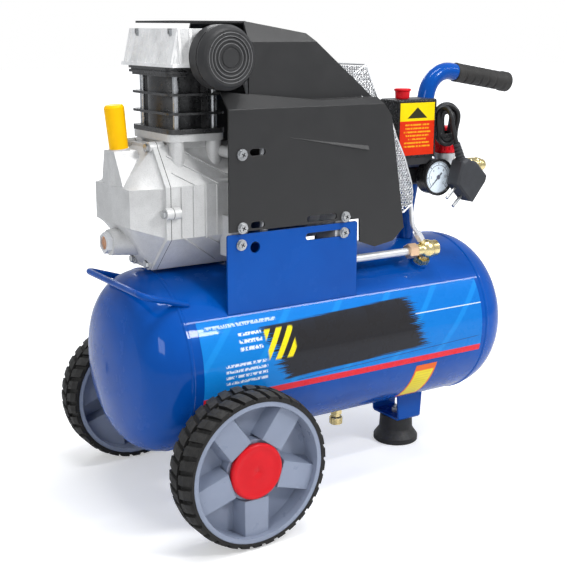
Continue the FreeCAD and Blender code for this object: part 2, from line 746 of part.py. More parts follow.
def handle_points():
    corner = V(HANDLE_CORNER_X, 0, HANDLE_CORNER_Z)
    end = corner + grip_axis() * (GRIP_START + GRIP_LENGTH - GRIP_CAP)
    return [(HANDLE_X, 0, TANK_TOP_Z - 4), (HANDLE_X, 0, HANDLE_KNEE_Z), tuple(corner), tuple(end)]


def handle_x_at(z):
    t = (z - HANDLE_KNEE_Z) / (HANDLE_CORNER_Z - HANDLE_KNEE_Z)
    return HANDLE_X + t * (HANDLE_CORNER_X - HANDLE_X)


def handle_bar(r):
    return tube(handle_points(), [HANDLE_KNEE_R, HANDLE_BEND_R], r)


def handle_tube():
    pts = handle_points()
    below = V(*pts[0]) - V(0, 0, 5)
    beyond = V(*pts[-1]) + grip_axis() * 5
    inner = tube([tuple(below)] + pts[1:-1] + [tuple(beyond)], [HANDLE_KNEE_R, HANDLE_BEND_R],
                 HANDLE_R - HANDLE_WALL)
    return handle_bar(HANDLE_R).cut([inner, tank_body(0)])


def handle_grip():
    start = V(HANDLE_CORNER_X, 0, HANDLE_CORNER_Z) + grip_axis() * GRIP_START
    n = GRIP_LENGTH
    pts = [(0, HANDLE_R), (0, GRIP_R - 1), (1.5, GRIP_R)]
    pitch = (n - 34) / GRIP_RIBS
    for i in range(GRIP_RIBS):
        a = 12 + i * pitch
        pts += [(a, GRIP_R), (a + 1.5, GRIP_R - 1), (a + 4, GRIP_R - 1), (a + 5.5, GRIP_R)]
    pts += [(n - 18, GRIP_R), (n - 14, GRIP_END_R), (n - 3, GRIP_END_R), (n, GRIP_END_R - 3),
            (n, 0), (n - GRIP_CAP, 0), (n - GRIP_CAP, HANDLE_R)]
    return spin(pts, tuple(start), tuple(grip_axis()))


# ================================================================ pump
def case_outline(grow):
    """Eight-sided crankcase section in Y and Z about the shaft."""
    g = grow
    pts = [(CASE_TOP_HALF_Y + g * 0.6, CASE_TOP + g), (CASE_HALF_Y + g, CASE_SHOULDER + g * 0.5),
           (CASE_HALF_Y + g, CASE_HIP - g * 0.5), (CASE_BOTTOM_HALF_Y + g * 0.6, CASE_BOTTOM - g)]
    loop = pts + [(-y, z) for y, z in reversed(pts)]
    return [(y, SHAFT_Z + z) for y, z in loop]


def cover_bolt_places():
    places = []
    for y, z in COVER_BOLTS:
        places.append((y, SHAFT_Z + z))
        places.append((-y, SHAFT_Z + z))
    return places


def stud_places():
    return [(sx * STUD_X, sy * STUD_Y) for sx in (-1, 1) for sy in (-1, 1)]


def facet_rib(side, facet, xa, ta, xb, tb):
    """Thin stiffening rib laid slantwise across a sloping facet of the case."""
    (y0, z0), (y1, z1) = facet
    ends = []
    for x, t in ((xa, ta), (xb, tb)):
        ends.append(V(x, side * (y0 + (y1 - y0) * t), SHAFT_Z + z0 + (z1 - z0) * t))
    run = ends[1] - ends[0]
    out = V(0, side * abs(z1 - z0), abs(y1 - y0) if z0 > 0 else -abs(y1 - y0)).normalize()
    across = run.cross(out).normalize() * (CASE_RIB_T / 2)
    top = out * CASE_RIB
    sunk = out * -2.0
    pts = [ends[0] + across + sunk, ends[0] - across + sunk, ends[0] - across + top,
           ends[0] + across + top]
    return Part.Face(Part.makePolygon(pts + pts[:1])).extrude(run)


def crankcase():
    body = prism_yz(case_outline(0), CASE_X0, CASE_X1)
    parts = []
    pitch = (CASE_X1 - CASE_X0 - 22) / (CASE_RIBS - 1)
    for i in range(CASE_RIBS - 1):
        x = CASE_X0 + 13 + i * pitch
        reach = CASE_HALF_Y + CASE_RIB
        parts.append(box(x, x + CASE_RIB_T, -reach, reach, SHAFT_Z + CASE_HIP + 1,
                         SHAFT_Z + CASE_SHOULDER - 1))
    for side in (-1, 1):
        upper = ((CASE_TOP_HALF_Y, CASE_TOP), (CASE_HALF_Y, CASE_SHOULDER))
        lower = ((CASE_HALF_Y, CASE_HIP), (CASE_BOTTOM_HALF_Y, CASE_BOTTOM))
        for facet, ribs in ((upper, CASE_UPPER_RIBS), (lower, CASE_LOWER_RIBS)):
            for xa, ta, xb, tb in ribs:
                parts.append(facet_rib(side, facet, CASE_X0 + xa, ta, CASE_X0 + xb, tb))
    parts.append(rounded_slab(FIN_HALF_X, FIN_HALF_Y - 2, CYL_Z0 - 9, CYL_Z0, FIN_CORNER))
    neck = [(-FIN_HALF_X + 6, CASE_TOP - 8), (FIN_HALF_X - 6, CASE_TOP - 8)]
    parts.append(box(neck[0][0], neck[1][0], -CASE_TOP_HALF_Y - 4, CASE_TOP_HALF_Y + 4,
                     SHAFT_Z + CASE_TOP - 12, CYL_Z0 - 5))
    for x, y in stud_places():
        parts.append(rod(STUD_BOSS_R, (x, y, SHAFT_Z + CASE_SHOULDER + 15), (x, y, CYL_Z0 - 4)))
    for y, z in cover_bolt_places():
        parts.append(rod(COVER_BOSS_R, (CASE_X0, y, z), (CASE_X0 + 9, y, z)))
    for s in (-1, 1):
        y0 = min(s * (CASE_HALF_Y - 6), s * (PLATE_OUTER_Y - PLATE_T))
        y1 = max(s * (CASE_HALF_Y - 6), s * (PLATE_OUTER_Y - PLATE_T))
        parts.append(box(FRONT_LUG_X - LUG_HALF_X, FRONT_LUG_X + LUG_HALF_X, y0, y1,
                         SHAFT_Z + LUG_BOTTOM, SHAFT_Z + LUG_TOP))
        post = SHROUD_HALF_Y - SHROUD_T
        parts.append(rod(7, (FRONT_LUG_X, s * 30, SHROUD_POST_Z), (FRONT_LUG_X, s * post, SHROUD_POST_Z)))
    motor_cup = rod(STATOR_R, (CASE_X1 - 14, 0, SHAFT_Z), (CASE_X1, 0, SHAFT_Z))
    body = body.fuse(parts + [motor_cup])
    bulk = CASE_BULKHEAD_X
    chamber = prism_yz(case_outline(-CASE_WALL), CASE_X0 - 1, bulk)
    cup = rod(STATOR_R - CASE_WALL, (bulk + CASE_BULKHEAD_T, 0, SHAFT_Z), (CASE_X1 + 1, 0, SHAFT_Z))
    throat = rod(BORE_R + 2.5, (0, 0, SHAFT_Z + CASE_TOP - 14), (0, 0, CYL_Z0 + 1))
    bearing = rod(SHAFT_R + RUN_FIT, (bulk - 1, 0, SHAFT_Z), (CASE_X1, 0, SHAFT_Z))
    cuts = [chamber, cup, throat, bearing]
    for x, y in stud_places():
        cuts.append(rod(STUD_R, (x, y, CYL_Z0 - 16), (x, y, CYL_Z0 + 1)))
    for y, z in cover_bolt_places():
        cuts.append(rod(COVER_BOLT_R, (CASE_X0 - 1, y, z), (CASE_X0 + 8, y, z)))
    for s in (-1, 1):
        cuts.append(rod(PLATE_BOLT_R, (FRONT_LUG_X, s * (PLATE_OUTER_Y - PLATE_T - 16), PLATE_BOLT_Z),
                        (FRONT_LUG_X, s * PLATE_OUTER_Y, PLATE_BOLT_Z)))
        cuts.append(rod(PLATE_BOLT_R - 1, (FRONT_LUG_X, s * (PLATE_OUTER_Y - PLATE_T - 14), SHROUD_SCREW_Z),
                        (FRONT_LUG_X, s * PLATE_OUTER_Y, SHROUD_SCREW_Z)))
        cuts.append(rod(PLATE_BOLT_R - 1, (FRONT_LUG_X, s * (SHROUD_HALF_Y - SHROUD_T - 12), SHROUD_POST_Z),
                        (FRONT_LUG_X, s * SHROUD_HALF_Y, SHROUD_POST_Z)))
    return body.cut(cuts)


def cover_gasket():
    x1 = CASE_X0
    x0 = x1 - GASKET_T
    sheet = prism_yz(case_outline(0), x0, x1)
    lobes = [rod(COVER_BOSS_R, (x0, y, z), (x1, y, z)) for y, z in cover_bolt_places()]
    holes = [rod(COVER_BOLT_R, (x0 - 1, y, z), (x1 + 1, y, z)) for y, z in cover_bolt_places()]
    window = prism_yz(case_outline(-CASE_WALL), x0 - 1, x1 + 1)
    return sheet.fuse(lobes).cut([window] + holes)


def leaned(shape):
    """Tilt a piece about the oil filler's seat, away from the pump."""
    shape.rotate(V(PLUG_X, 0, OIL_BOSS_Z), V(0, 1, 0), -OIL_PLUG_LEAN)
    return shape


def cover_shell(x_back, x_face, inset):
    back = case_outline(-CASE_WALL - inset)
    fy = COVER_FACE_HALF_Y - inset
    fz = COVER_FACE_HALF_Z - inset
    half = [(fy * 0.62, fz), (fy, fz * 0.98), (fy, -fz * 0.98), (fy * 0.62, -fz)]
    loop = half + [(-y, z) for y, z in reversed(half)]
    face = [(y, SHAFT_Z + 5 + z) for y, z in loop]
    wires = []
    for x, ring in ((x_back, back), (x_face, face)):
        pts = [V(x, y, z) for y, z in ring]
        wires.append(Part.makePolygon(pts + pts[:1]))
    return Part.makeLoft(wires, True, True)


def filler_tower(face_x):
    """Four-sided pylon that carries the oil filler above the cover's face."""
    top = OIL_BOSS_R + 1.5
    wires = []
    for x0, x1, half, z in ((face_x + 1, PLUG_X + 30, 31.0, SHAFT_Z + COVER_FACE_HALF_Z + 4),
                            (PLUG_X - top + 1, PLUG_X + top + 3, top, OIL_BOSS_Z - 2)):
        pts = [V(x0, -half, z), V(x1, -half, z), V(x1, half, z), V(x0, half, z)]
        wires.append(Part.makePolygon(pts + pts[:1]))
    return Part.makeLoft(wires, True, True)


def crankcase_cover():
    x1 = CASE_X0 - GASKET_T
    x0 = x1 - COVER_FLANGE_T
    face_x = x1 - COVER_DEPTH
    flange = prism_yz(case_outline(0), x0, x1)
    lobes = [rod(COVER_BOSS_R, (x0 - 3, y, z), (x1, y, z)) for y, z in cover_bolt_places()]
    shell = cover_shell(x0, face_x, 0)
    oil_boss = leaned(cone(OIL_BOSS_R + 6, OIL_BOSS_R, (PLUG_X, 0, OIL_BOSS_Z - 42),
                           (PLUG_X, 0, OIL_BOSS_Z)))
    tower = filler_tower(face_x)
    sight_boss = cone(SIGHT_R + 3, SIGHT_R, (x0 - 8, 0, SIGHT_Z), (SIGHT_FACE_X + 4, 0, SIGHT_Z))
    body = flange.fuse(lobes + [shell, oil_boss, tower, sight_boss])
    cavity = cover_shell(x0 + 1, face_x + CASE_WALL, CASE_WALL)
    mouth = prism_yz(case_outline(-CASE_WALL * 2), x0, x1 + 1)
    oil_hole = leaned(rod(OIL_NECK_R + RUN_FIT, (PLUG_X, 0, OIL_BOSS_Z - 45), (PLUG_X, 0, OIL_BOSS_Z + 1)))
    sight_hole = rod(SIGHT_GLASS_R, (SIGHT_FACE_X - 1, 0, SIGHT_Z), (x0, 0, SIGHT_Z))
    holes = []
    for y, z in cover_bolt_places():
        holes.append(rod(COVER_BOLT_R, (x0 - 4, y, z), (x1 + 1, y, z)))
        holes.append(rod(COVER_BOLT_HEAD_R + PIECE_GAP, (x0 - 11, y, z), (x0 - 3, y, z)))
    return body.cut([cavity, mouth, oil_hole, sight_hole] + holes)


def cover_bolts():
    x_head = CASE_X0 - GASKET_T - COVER_FLANGE_T - 3
    bolts = []
    for y, z in cover_bolt_places():
        head = hex_rod(COVER_BOLT_HEAD_R, (x_head - 4, y, z), (x_head, y, z))
        shank = rod(COVER_BOLT_R, (x_head - 1, y, z), (CASE_X0 + 7, y, z))
        bolts.append(union(head, shank))
    return Part.makeCompound(bolts)


def oil_plug():
    z = OIL_BOSS_Z
    pts = [(z - 14, 0), (z - 14, OIL_NECK_R - 1), (z - 12, OIL_NECK_R), (z, OIL_NECK_R),
           (z, OIL_PLUG_R - 0.4), (z + OIL_PLUG_H - 3, OIL_PLUG_R + 0.4),
           (z + OIL_PLUG_H, OIL_PLUG_R - 1.6), (z + OIL_PLUG_H, 0)]
    return leaned(spin(pts, (PLUG_X, 0, 0), (0, 0, 1)))


def sight_glass():
    x = SIGHT_FACE_X + 4
    bezel = hex_rod(SIGHT_BEZEL_R, (x - 7, 0, SIGHT_Z), (x, 0, SIGHT_Z))
    bezel = bezel.cut(rod(SIGHT_GLASS_R, (x - 8, 0, SIGHT_Z), (x + 1, 0, SIGHT_Z)))
    return bezel


def sight_lens():
    x = SIGHT_FACE_X + 4
    return rod(SIGHT_GLASS_R, (x - 5, 0, SIGHT_Z), (x + 1, 0, SIGHT_Z))


def cylinder_barrel():
    body = rod(BARREL_R, (0, 0, CYL_Z0), (0, 0, CYL_TOP))
    parts = [rounded_slab(FIN_HALF_X, FIN_HALF_Y, CYL_Z0, CYL_Z0 + BASE_FLANGE_T, FIN_CORNER)]
    pitch = (CYL_H - FIN_T) / FINS
    for i in range(1, FINS + 1):
        z = CYL_Z0 + i * pitch
        parts.append(rounded_slab(FIN_HALF_X, FIN_HALF_Y, z, z + FIN_T, FIN_CORNER))
    web = 7.0
    for x, y in stud_places():
        toward = V(x, y, 0).normalize()
        rib = box(0, math.hypot(x, y) - STUD_R - 1, -web / 2, web / 2, CYL_Z0, CYL_TOP)
        rib.rotate(V(0, 0, 0), V(0, 0, 1), math.degrees(math.atan2(toward.y, toward.x)))
        parts.append(rib)
    body = body.fuse(parts)
    cuts = [rod(BORE_R, (0, 0, CYL_Z0 - 1), (0, 0, CYL_TOP + 1))]
    for x, y in stud_places():
        cuts.append(rod(STUD_R + 0.4, (x, y, CYL_Z0 - 1), (x, y, CYL_TOP + 1)))
    return body.cut(cuts)


def valve_plate():
    body = rounded_slab(FIN_HALF_X + VALVE_PLATE_OVER, FIN_HALF_Y + VALVE_PLATE_OVER,
                        CYL_TOP, HEAD_Z0, FIN_CORNER)
    groove = VALVE_PLATE_T / 2
    ring = rounded_slab(FIN_HALF_X + 9, FIN_HALF_Y + 9, CYL_TOP + groove - 1, CYL_TOP + groove + 1,
                        FIN_CORNER)
    core = rounded_slab(FIN_HALF_X + 1, FIN_HALF_Y + 1, CYL_TOP, HEAD_Z0, FIN_CORNER)
    body = body.cut(ring.cut(core))
    ports = [rod(5, (sx * 11, 0, CYL_TOP - 1), (sx * 11, 0, HEAD_Z0 + 1)) for sx in (-1, 1)]
    holes = [rod(STUD_R + 0.4, (x, y, CYL_TOP - 1), (x, y, HEAD_Z0 + 1)) for x, y in stud_places()]
    return body.cut(ports + holes)


def taper_block(hx, hy, taper, z0, z1):
    wires = []
    for z, t in ((z0, 0), (z1, taper)):
        pts = [V(-hx + t, -hy + t * 0.6, z), V(hx - t, -hy + t * 0.6, z),
               V(hx - t, hy - t * 0.6, z), V(-hx + t, hy - t * 0.6, z)]
        wires.append(Part.makePolygon(pts + pts[:1]))
    return Part.makeLoft(wires, True, True)


def cylinder_head():
    """Finned aluminium head with two chambers underneath."""
    t = HEAD_RIB
    hx = HEAD_HALF_X - t
    hy = HEAD_HALF_Y - t
    core = taper_block(hx, hy, HEAD_TAPER, HEAD_Z0, HEAD_Z1)
    full = taper_block(HEAD_HALF_X, HEAD_HALF_Y, HEAD_TAPER, HEAD_Z0, HEAD_Z1)
    slabs = []
    count = 8
    for i in range(count):
        y = -HEAD_HALF_Y + 8 + i * (2 * HEAD_HALF_Y - 16) / (count - 1)
        slabs.append(box(-HEAD_HALF_X, HEAD_HALF_X, y - HEAD_RIB_T / 2, y + HEAD_RIB_T / 2,
                         HEAD_Z0, HEAD_Z1))
    for i in range(5):
        x = -HEAD_HALF_X + 12 + i * (2 * HEAD_HALF_X - 24) / 4
        slabs.append(box(x - HEAD_RIB_T / 2, x + HEAD_RIB_T / 2, -HEAD_HALF_Y, HEAD_HALF_Y,
                         HEAD_Z0, HEAD_Z1))
    skirt = taper_block(HEAD_HALF_X, HEAD_HALF_Y, 0.6, HEAD_Z0, HEAD_Z0 + 4)
    ribs = full.common(slabs[0].fuse(slabs[1:]))
    body = core.fuse([ribs, skirt.common(full)])
    w = HEAD_WALL
    inner_x = FIN_HALF_X - w
    inner_y = FIN_HALF_Y - w - 16
    chambers = [box(sx * inner_x if sx < 0 else 3, -3 if sx < 0 else sx * inner_x, -inner_y, inner_y,
                    HEAD_Z0 - 1, HEAD_Z1 - w) for sx in (-1, 1)]
    screws = []
    for x, y in stud_places():
        screws.append(rod(STUD_R + 0.4, (x, y, HEAD_Z0 - 1), (x, y, HEAD_Z1)))
        screws.append(rod(HEAD_SCREW_R + 1.5, (x, y, HEAD_Z1 - HEAD_SCREW_H - 1), (x, y, HEAD_Z1 + 1)))
    outlet = outlet_port()
    port = rod(PIPE_R + 3, (inner_x + w, outlet[1], outlet[2]), (HEAD_HALF_X + 4, outlet[1], outlet[2]))
    body = body.fuse(port)
    duct = rod(PIPE_R - 1.5, (inner_x - 6, outlet[1], outlet[2]), (HEAD_HALF_X + 5, outlet[1], outlet[2]))
    return body.cut(chambers + screws + [duct]).removeSplitter()


def outlet_port():
    return (HEAD_HALF_X + 4, -20.0, HEAD_Z0 + 16)


def head_studs():
    studs = []
    for x, y in stud_places():
        z1 = HEAD_Z1 - HEAD_SCREW_H - 1
        shank = rod(STUD_R, (x, y, CYL_Z0 - 15), (x, y, z1 + 1))
        head = hex_rod(HEAD_SCREW_R, (x, y, z1), (x, y, z1 + HEAD_SCREW_H))
        studs.append(union(shank, head))
    return Part.makeCompound(studs)


def air_filter():
    """Round intake filter that faces the front, with grooved lid and intake holes."""
    d = FILTER_DEPTH
    pts = [(0, 0), (0, FILTER_R - 4), (2, FILTER_R), (d * 0.55, FILTER_R), (d * 0.55, FILTER_R - 1.2),
           (d * 0.6, FILTER_R - 1.2), (d * 0.6, FILTER_R), (d * 0.68, FILTER_R),
           (d - 3, FILTER_FACE_R + 1), (d, FILTER_FACE_R - 1.5)]
    r = FILTER_FACE_R - 8
    for i in range(FILTER_GROOVES):
        pts += [(d, r), (d - 1, r - 0.8), (d - 1, r - 1.8), (d, r - 2.6)]
        r -= 6
    pts += [(d, 0)]
    body = spin(pts, (FILTER_X, -FILTER_Y0, FILTER_Z), (0, -1, 0))
    stub = rod(FILTER_STUB_R, (FILTER_X, -FILTER_Y0 - 1, FILTER_Z), (FILTER_X, -FILTER_Y0 + 12, FILTER_Z))
    head = taper_block(HEAD_HALF_X, HEAD_HALF_Y, HEAD_TAPER, HEAD_Z0, HEAD_Z1)
    body = body.fuse(stub.cut(head))
    holes = []
    for i in range(FILTER_HOLES):
        a = math.radians(360.0 * i / FILTER_HOLES + 20)
        x = FILTER_X + (FILTER_FACE_R - 4.5) * math.cos(a)
        z = FILTER_Z + (FILTER_FACE_R - 4.5) * math.sin(a)
        holes.append(rod(1.3, (x, -FILTER_Y0 - d - 1, z), (x, -FILTER_Y0 - d + 6, z)))
    return body.cut(holes)


# ================================================================ running gear
def piston():
    z1 = PIN_Z + PISTON_CROWN
    z0 = PIN_Z - PISTON_SKIRT
    r = BORE_R - RUN_FIT
    pts = [(z0, r - PISTON_WALL), (z0, r), (z1 - 12, r), (z1 - 12, r - 1), (z1 - 10.5, r - 1),
           (z1 - 10.5, r), (z1 - 6, r), (z1 - 6, r - 1), (z1 - 4.5, r - 1), (z1 - 4.5, r),
           (z1, r), (z1, 0), (z1 - PISTON_WALL, 0), (z1 - PISTON_WALL, r - PISTON_WALL)]
    body = spin(pts, (0, 0, 0), (0, 0, 1))
    pin = rod(WRIST_PIN_R, (-r + 1, 0, PIN_Z), (r - 1, 0, PIN_Z))
    inside = rod(r - 1, (0, 0, z0), (0, 0, z1))
    bosses = []
    for s in (-1, 1):
        a = s * (ROD_T / 2 + 1)
        b = s * (r - 1)
        bosses.append(rod(WRIST_PIN_R + 3, (min(a, b), 0, PIN_Z), (max(a, b), 0, PIN_Z)).common(inside))
    return union(body, pin, *bosses)


def connecting_rod():
    """Rod with its crank pin; the pin's free end stops just short of the crank web."""
    t = ROD_T / 2
    eye = rod(ROD_EYE_R, (-t, 0, PIN_Z), (t, 0, PIN_Z))
    big = rod(ROD_BIG_R, (-t, 0, ROD_END_Z), (t, 0, ROD_END_Z))
    pin = rod(CRANK_PIN_R, (-t - 2, 0, ROD_END_Z), (WEB_X0 - OPEN_PIVOT_GAP, 0, ROD_END_Z))
    beam = prism_yz([(-ROD_BIG_R * 0.6, ROD_END_Z), (ROD_BIG_R * 0.6, ROD_END_Z),
                     (ROD_EYE_R * 0.6, PIN_Z), (-ROD_EYE_R * 0.6, PIN_Z)], -t + 1, t - 1)
    groove = [(-ROD_BIG_R * 0.3, ROD_END_Z + ROD_BIG_R + 4), (ROD_BIG_R * 0.3, ROD_END_Z + ROD_BIG_R + 4),
              (ROD_EYE_R * 0.3, PIN_Z - ROD_EYE_R - 4), (-ROD_EYE_R * 0.3, PIN_Z - ROD_EYE_R - 4)]
    body = union(eye, big, pin, beam)
    body = body.cut([prism_yz(groove, -t, -t + 3), prism_yz(groove, t - 3, t)])
    return body.cut(rod(WRIST_PIN_R + RUN_FIT, (-t - 1, 0, PIN_Z), (t + 1, 0, PIN_Z)))


def rotor_shaft():
    """Rotor core, shaft and counterweighted crank web on one axis."""
    z = SHAFT_Z
    shaft = rod(SHAFT_R, (WEB_X0 + 1, 0, z), (FAN_X0 + FAN_T + 4, 0, z))
    core = rod(ROTOR_R, (STATOR_X0 + 4, 0, z), (STATOR_X1 - 4, 0, z))
    rings = [rod(ROTOR_R - 4, (STATOR_X0 - 2, 0, z), (STATOR_X0 + 5, 0, z)),
             rod(ROTOR_R - 4, (STATOR_X1 - 5, 0, z), (STATOR_X1 + 2, 0, z))]
    web = rod(CRANK_WEB_R, (WEB_X0, 0, z), (WEB_X0 + CRANK_WEB_T, 0, z))
    waist = box(WEB_X0 - 1, WEB_X0 + CRANK_WEB_T + 1, SHAFT_R + 4, CRANK_WEB_R + 1,
                z - CRANK_WEB_R, z + 4)
    web = web.cut([waist, mirror_y(waist)])
    return union(shaft, core, web, *rings)


def motor_stator():
    """Laminated stack with cooling ridges."""
    body = rod(STATOR_R, (STATOR_X0, 0, SHAFT_Z), (STATOR_X1, 0, SHAFT_Z))
    flats = []
    for i in range(4):
        angle = 45 + 90 * i
        flat = box(STATOR_X0 - 1, STATOR_X1 + 1, -12, 12, STATOR_R - 3, STATOR_R + 3)
        flat.rotate(V(0, 0, 0), V(1, 0, 0), angle)
        flat.translate(V(0, 0, SHAFT_Z))
        flats.append(flat)
    bore = rod(ROTOR_R + AIR_GAP, (STATOR_X0 - 1, 0, SHAFT_Z), (STATOR_X1 + 1, 0, SHAFT_Z))
    return Part.makeCompound([body.cut(flats + [bore])] + winding_heads())


def winding_heads():
    """The two rings of copper that stand out of the stack."""
    rings = []
    for x0, x1 in ((STATOR_X0 - WINDING_OVERHANG, STATOR_X0), (STATOR_X1, STATOR_X1 + WINDING_OVERHANG)):
        ring = rod(WINDING_R1, (x0, 0, SHAFT_Z), (x1, 0, SHAFT_Z))
        rings.append(ring.cut(rod(WINDING_R0, (x0 - 1, 0, SHAFT_Z), (x1 + 1, 0, SHAFT_Z))))
    return rings


def end_shield():
    z = SHAFT_Z
    x0 = STATOR_X1
    x1 = SHIELD_X1
    body = rod(STATOR_R, (x0, 0, z), (x1, 0, z))
    parts = []
    for s in (-1, 1):
        a = s * (STATOR_R - 14)
        b = s * (PLATE_OUTER_Y - PLATE_T)
        parts.append(box(REAR_LUG_X - LUG_HALF_X, REAR_LUG_X + LUG_HALF_X, min(a, b), max(a, b),
                         z + LUG_BOTTOM, z + LUG_TOP))
    body = body.fuse(parts)
    cavity = rod(STATOR_R - SHIELD_WALL, (x0 - 1, 0, z), (x1 - SHIELD_WALL, 0, z))
    boss = rod(SHAFT_R + 12, (x1 - SHIELD_WALL - 14, 0, z), (x1 - SHIELD_WALL, 0, z))
    body = body.cut(cavity).fuse(boss)
    cuts = [rod(SHAFT_R + RUN_FIT, (x0, 0, z), (x1 + 1, 0, z))]
    for i in range(6):
        vent = rod(8, (x1 - SHIELD_WALL - 1, 0, 40), (x1 + 1, 0, 40))
        vent.rotate(V(0, 0, 0), V(1, 0, 0), 30 + 60 * i)
        vent.translate(V(0, 0, z))
        cuts.append(vent)
    for s in (-1, 1):
        cuts.append(rod(PLATE_BOLT_R, (REAR_LUG_X, s * (PLATE_OUTER_Y - PLATE_T - 16), PLATE_BOLT_Z),
                        (REAR_LUG_X, s * PLATE_OUTER_Y, PLATE_BOLT_Z)))
        cuts.append(rod(PLATE_BOLT_R - 1, (REAR_LUG_X, s * (PLATE_OUTER_Y - PLATE_T - 14), SHROUD_SCREW_Z),
                        (REAR_LUG_X, s * PLATE_OUTER_Y, SHROUD_SCREW_Z)))
    return body.cut(cuts)


def cooling_fan():
    z = SHAFT_Z
    hub = rod(FAN_HUB_R, (FAN_X0, 0, z), (FAN_X0 + FAN_T, 0, z))
    plate = rod(FAN_R * 0.62, (FAN_X0, 0, z), (FAN_X0 + 2, 0, z))
    blades = []
    for i in range(FAN_BLADES):
        blade = box(FAN_X0, FAN_X0 + FAN_T, -1.2, 1.2, FAN_HUB_R - 2, FAN_R)
        blade.rotate(V(FAN_X0 + FAN_T / 2, 0, 0), V(0, 0, 1), 24)
        blade.rotate(V(0, 0, 0), V(1, 0, 0), 360.0 * i / FAN_BLADES)
        blade.translate(V(0, 0, z))
        blades.append(blade)
    limits = rod(FAN_R, (FAN_X0 + 0.8, 0, z), (FAN_X0 + FAN_T - 0.8, 0, z))
    blades = [limits.common(blade) for blade in blades]
    bore = rod(SHAFT_R, (FAN_X0 - 1, 0, z), (FAN_X0 + FAN_T + 1, 0, z))
    return hub.fuse([plate] + blades).cut(bore)


# ================================================================ saddle and shroud
def saddle_plates():
    y1 = -PLATE_OUTER_Y + PLATE_T
    plate = box(PLATE_X0, PLATE_X1, -PLATE_OUTER_Y, y1, TANK_AXIS_Z + 40, PLATE_TOP_Z)
    corners = [e for e in plate.Edges
               if abs(e.Vertexes[0].Y - e.Vertexes[1].Y) > 1 and e.Vertexes[0].Z > PLATE_TOP_Z - 1]
    plate = plate.makeFillet(3, corners)
    cuts = [tank_body(0)]
    a = -PLATE_OUTER_Y - 1
    b = y1 + 1
    cuts.append(rod(PLATE_BOLT_R, (FRONT_LUG_X, a, PLATE_BOLT_Z), (FRONT_LUG_X, b, PLATE_BOLT_Z)))
    cuts.append(rod(PLATE_HOLE_R, (FRONT_LUG_X + 20, a, PLATE_BOLT_Z - 5), (FRONT_LUG_X + 20, b, PLATE_BOLT_Z - 5)))
    slot_x = REAR_LUG_X - PLATE_SLOT / 2 + PLATE_SLOT_H / 2 + 6
    cuts.append(slot_y(slot_x, PLATE_BOLT_Z, PLATE_SLOT, PLATE_SLOT_H, a, b))
    plate = plate.cut(cuts)
    return Part.makeCompound([plate, mirror_y(plate)])


def side_bolts():
    """Flanged bolts that hold the pump to the plates and the shroud to the pump."""
    places = []
    outer = PLATE_OUTER_Y
    skin = SHROUD_HALF_Y
    lug = PLATE_OUTER_Y - PLATE_T
    places.append((FRONT_LUG_X, PLATE_BOLT_Z, PLATE_BOLT_R, outer, lug - 15))
    places.append((REAR_LUG_X, PLATE_BOLT_Z, PLATE_BOLT_R, outer, lug - 15))
    places.append((FRONT_LUG_X, SHROUD_SCREW_Z, PLATE_BOLT_R - 1, skin, lug - 13))
    places.append((REAR_LUG_X, SHROUD_SCREW_Z, PLATE_BOLT_R - 1, skin, lug - 13))
    places.append((FRONT_LUG_X, SHROUD_POST_Z, PLATE_BOLT_R - 1, skin, SHROUD_HALF_Y - SHROUD_T - 11))
    bolts = []
    for x, z, r, y_out, y_in in places:
        flange = rod(BOLT_CAP_R, (x, -y_out - 1.5, z), (x, -y_out, z))
        head = hex_rod(BOLT_CAP_R - 1.2, (x, -y_out - BOLT_CAP_T, z), (x, -y_out - 1, z))
        shank = rod(r, (x, -y_out - 1, z), (x, -y_in, z))
        bolt = union(flange, head, shank)
        bolts.append(bolt)
        bolts.append(mirror_y(bolt))
    return Part.makeCompound(bolts)


def lower_outline():
    """Side view of the motor cowl."""
    return [(SHROUD_X0, SHROUD_BOTTOM_Z), (PLATE_X1 + 1, SHROUD_BOTTOM_Z),
            (PLATE_X1 + 2, SHROUD_DROP_Z + 2), (PLATE_X1 + 27, SHROUD_TIP_Z),
            (SHROUD_X1 - 20, SHROUD_TIP_Z + 5), (SHROUD_X1 - 2, SHROUD_DROP_Z + 14),
            (SHROUD_X1 - 27, SHROUD_SHOULDER_Z - 16),
            (SHROUD_X1 - 46, SHROUD_LEDGE_Z - 12), (148, SHROUD_LEDGE_Z - 13),
            (SHROUD_X0, SHROUD_LEDGE_Z)]


def shroud_section(half_low, z_low, half_high, z_high, z_base):
    return [(-half_low, z_base), (half_low, z_base), (half_low, z_low), (half_high, z_high),
            (-half_high, z_high), (-half_low, z_low)]


def cowl_crease(side):
    """Pressed swage that widens towards the fan end, proud along its lower edge."""
    wires = []
    for x, z, size in ((SHROUD_X1 - 186, SHAFT_Z + 84, 0.12), (SHROUD_X1 - 64, SHAFT_Z + 62, 1.0)):
        skin = side * (SHROUD_HALF_Y - 1)
        lip = side * (SHROUD_HALF_Y + CREASE_RISE * size)
        pts = [V(x, skin, z + CREASE_H * size), V(x, skin, z), V(x, lip, z)]
        wires.append(Part.makePolygon(pts + pts[:1]))
    return Part.makeLoft(wires, True, True)


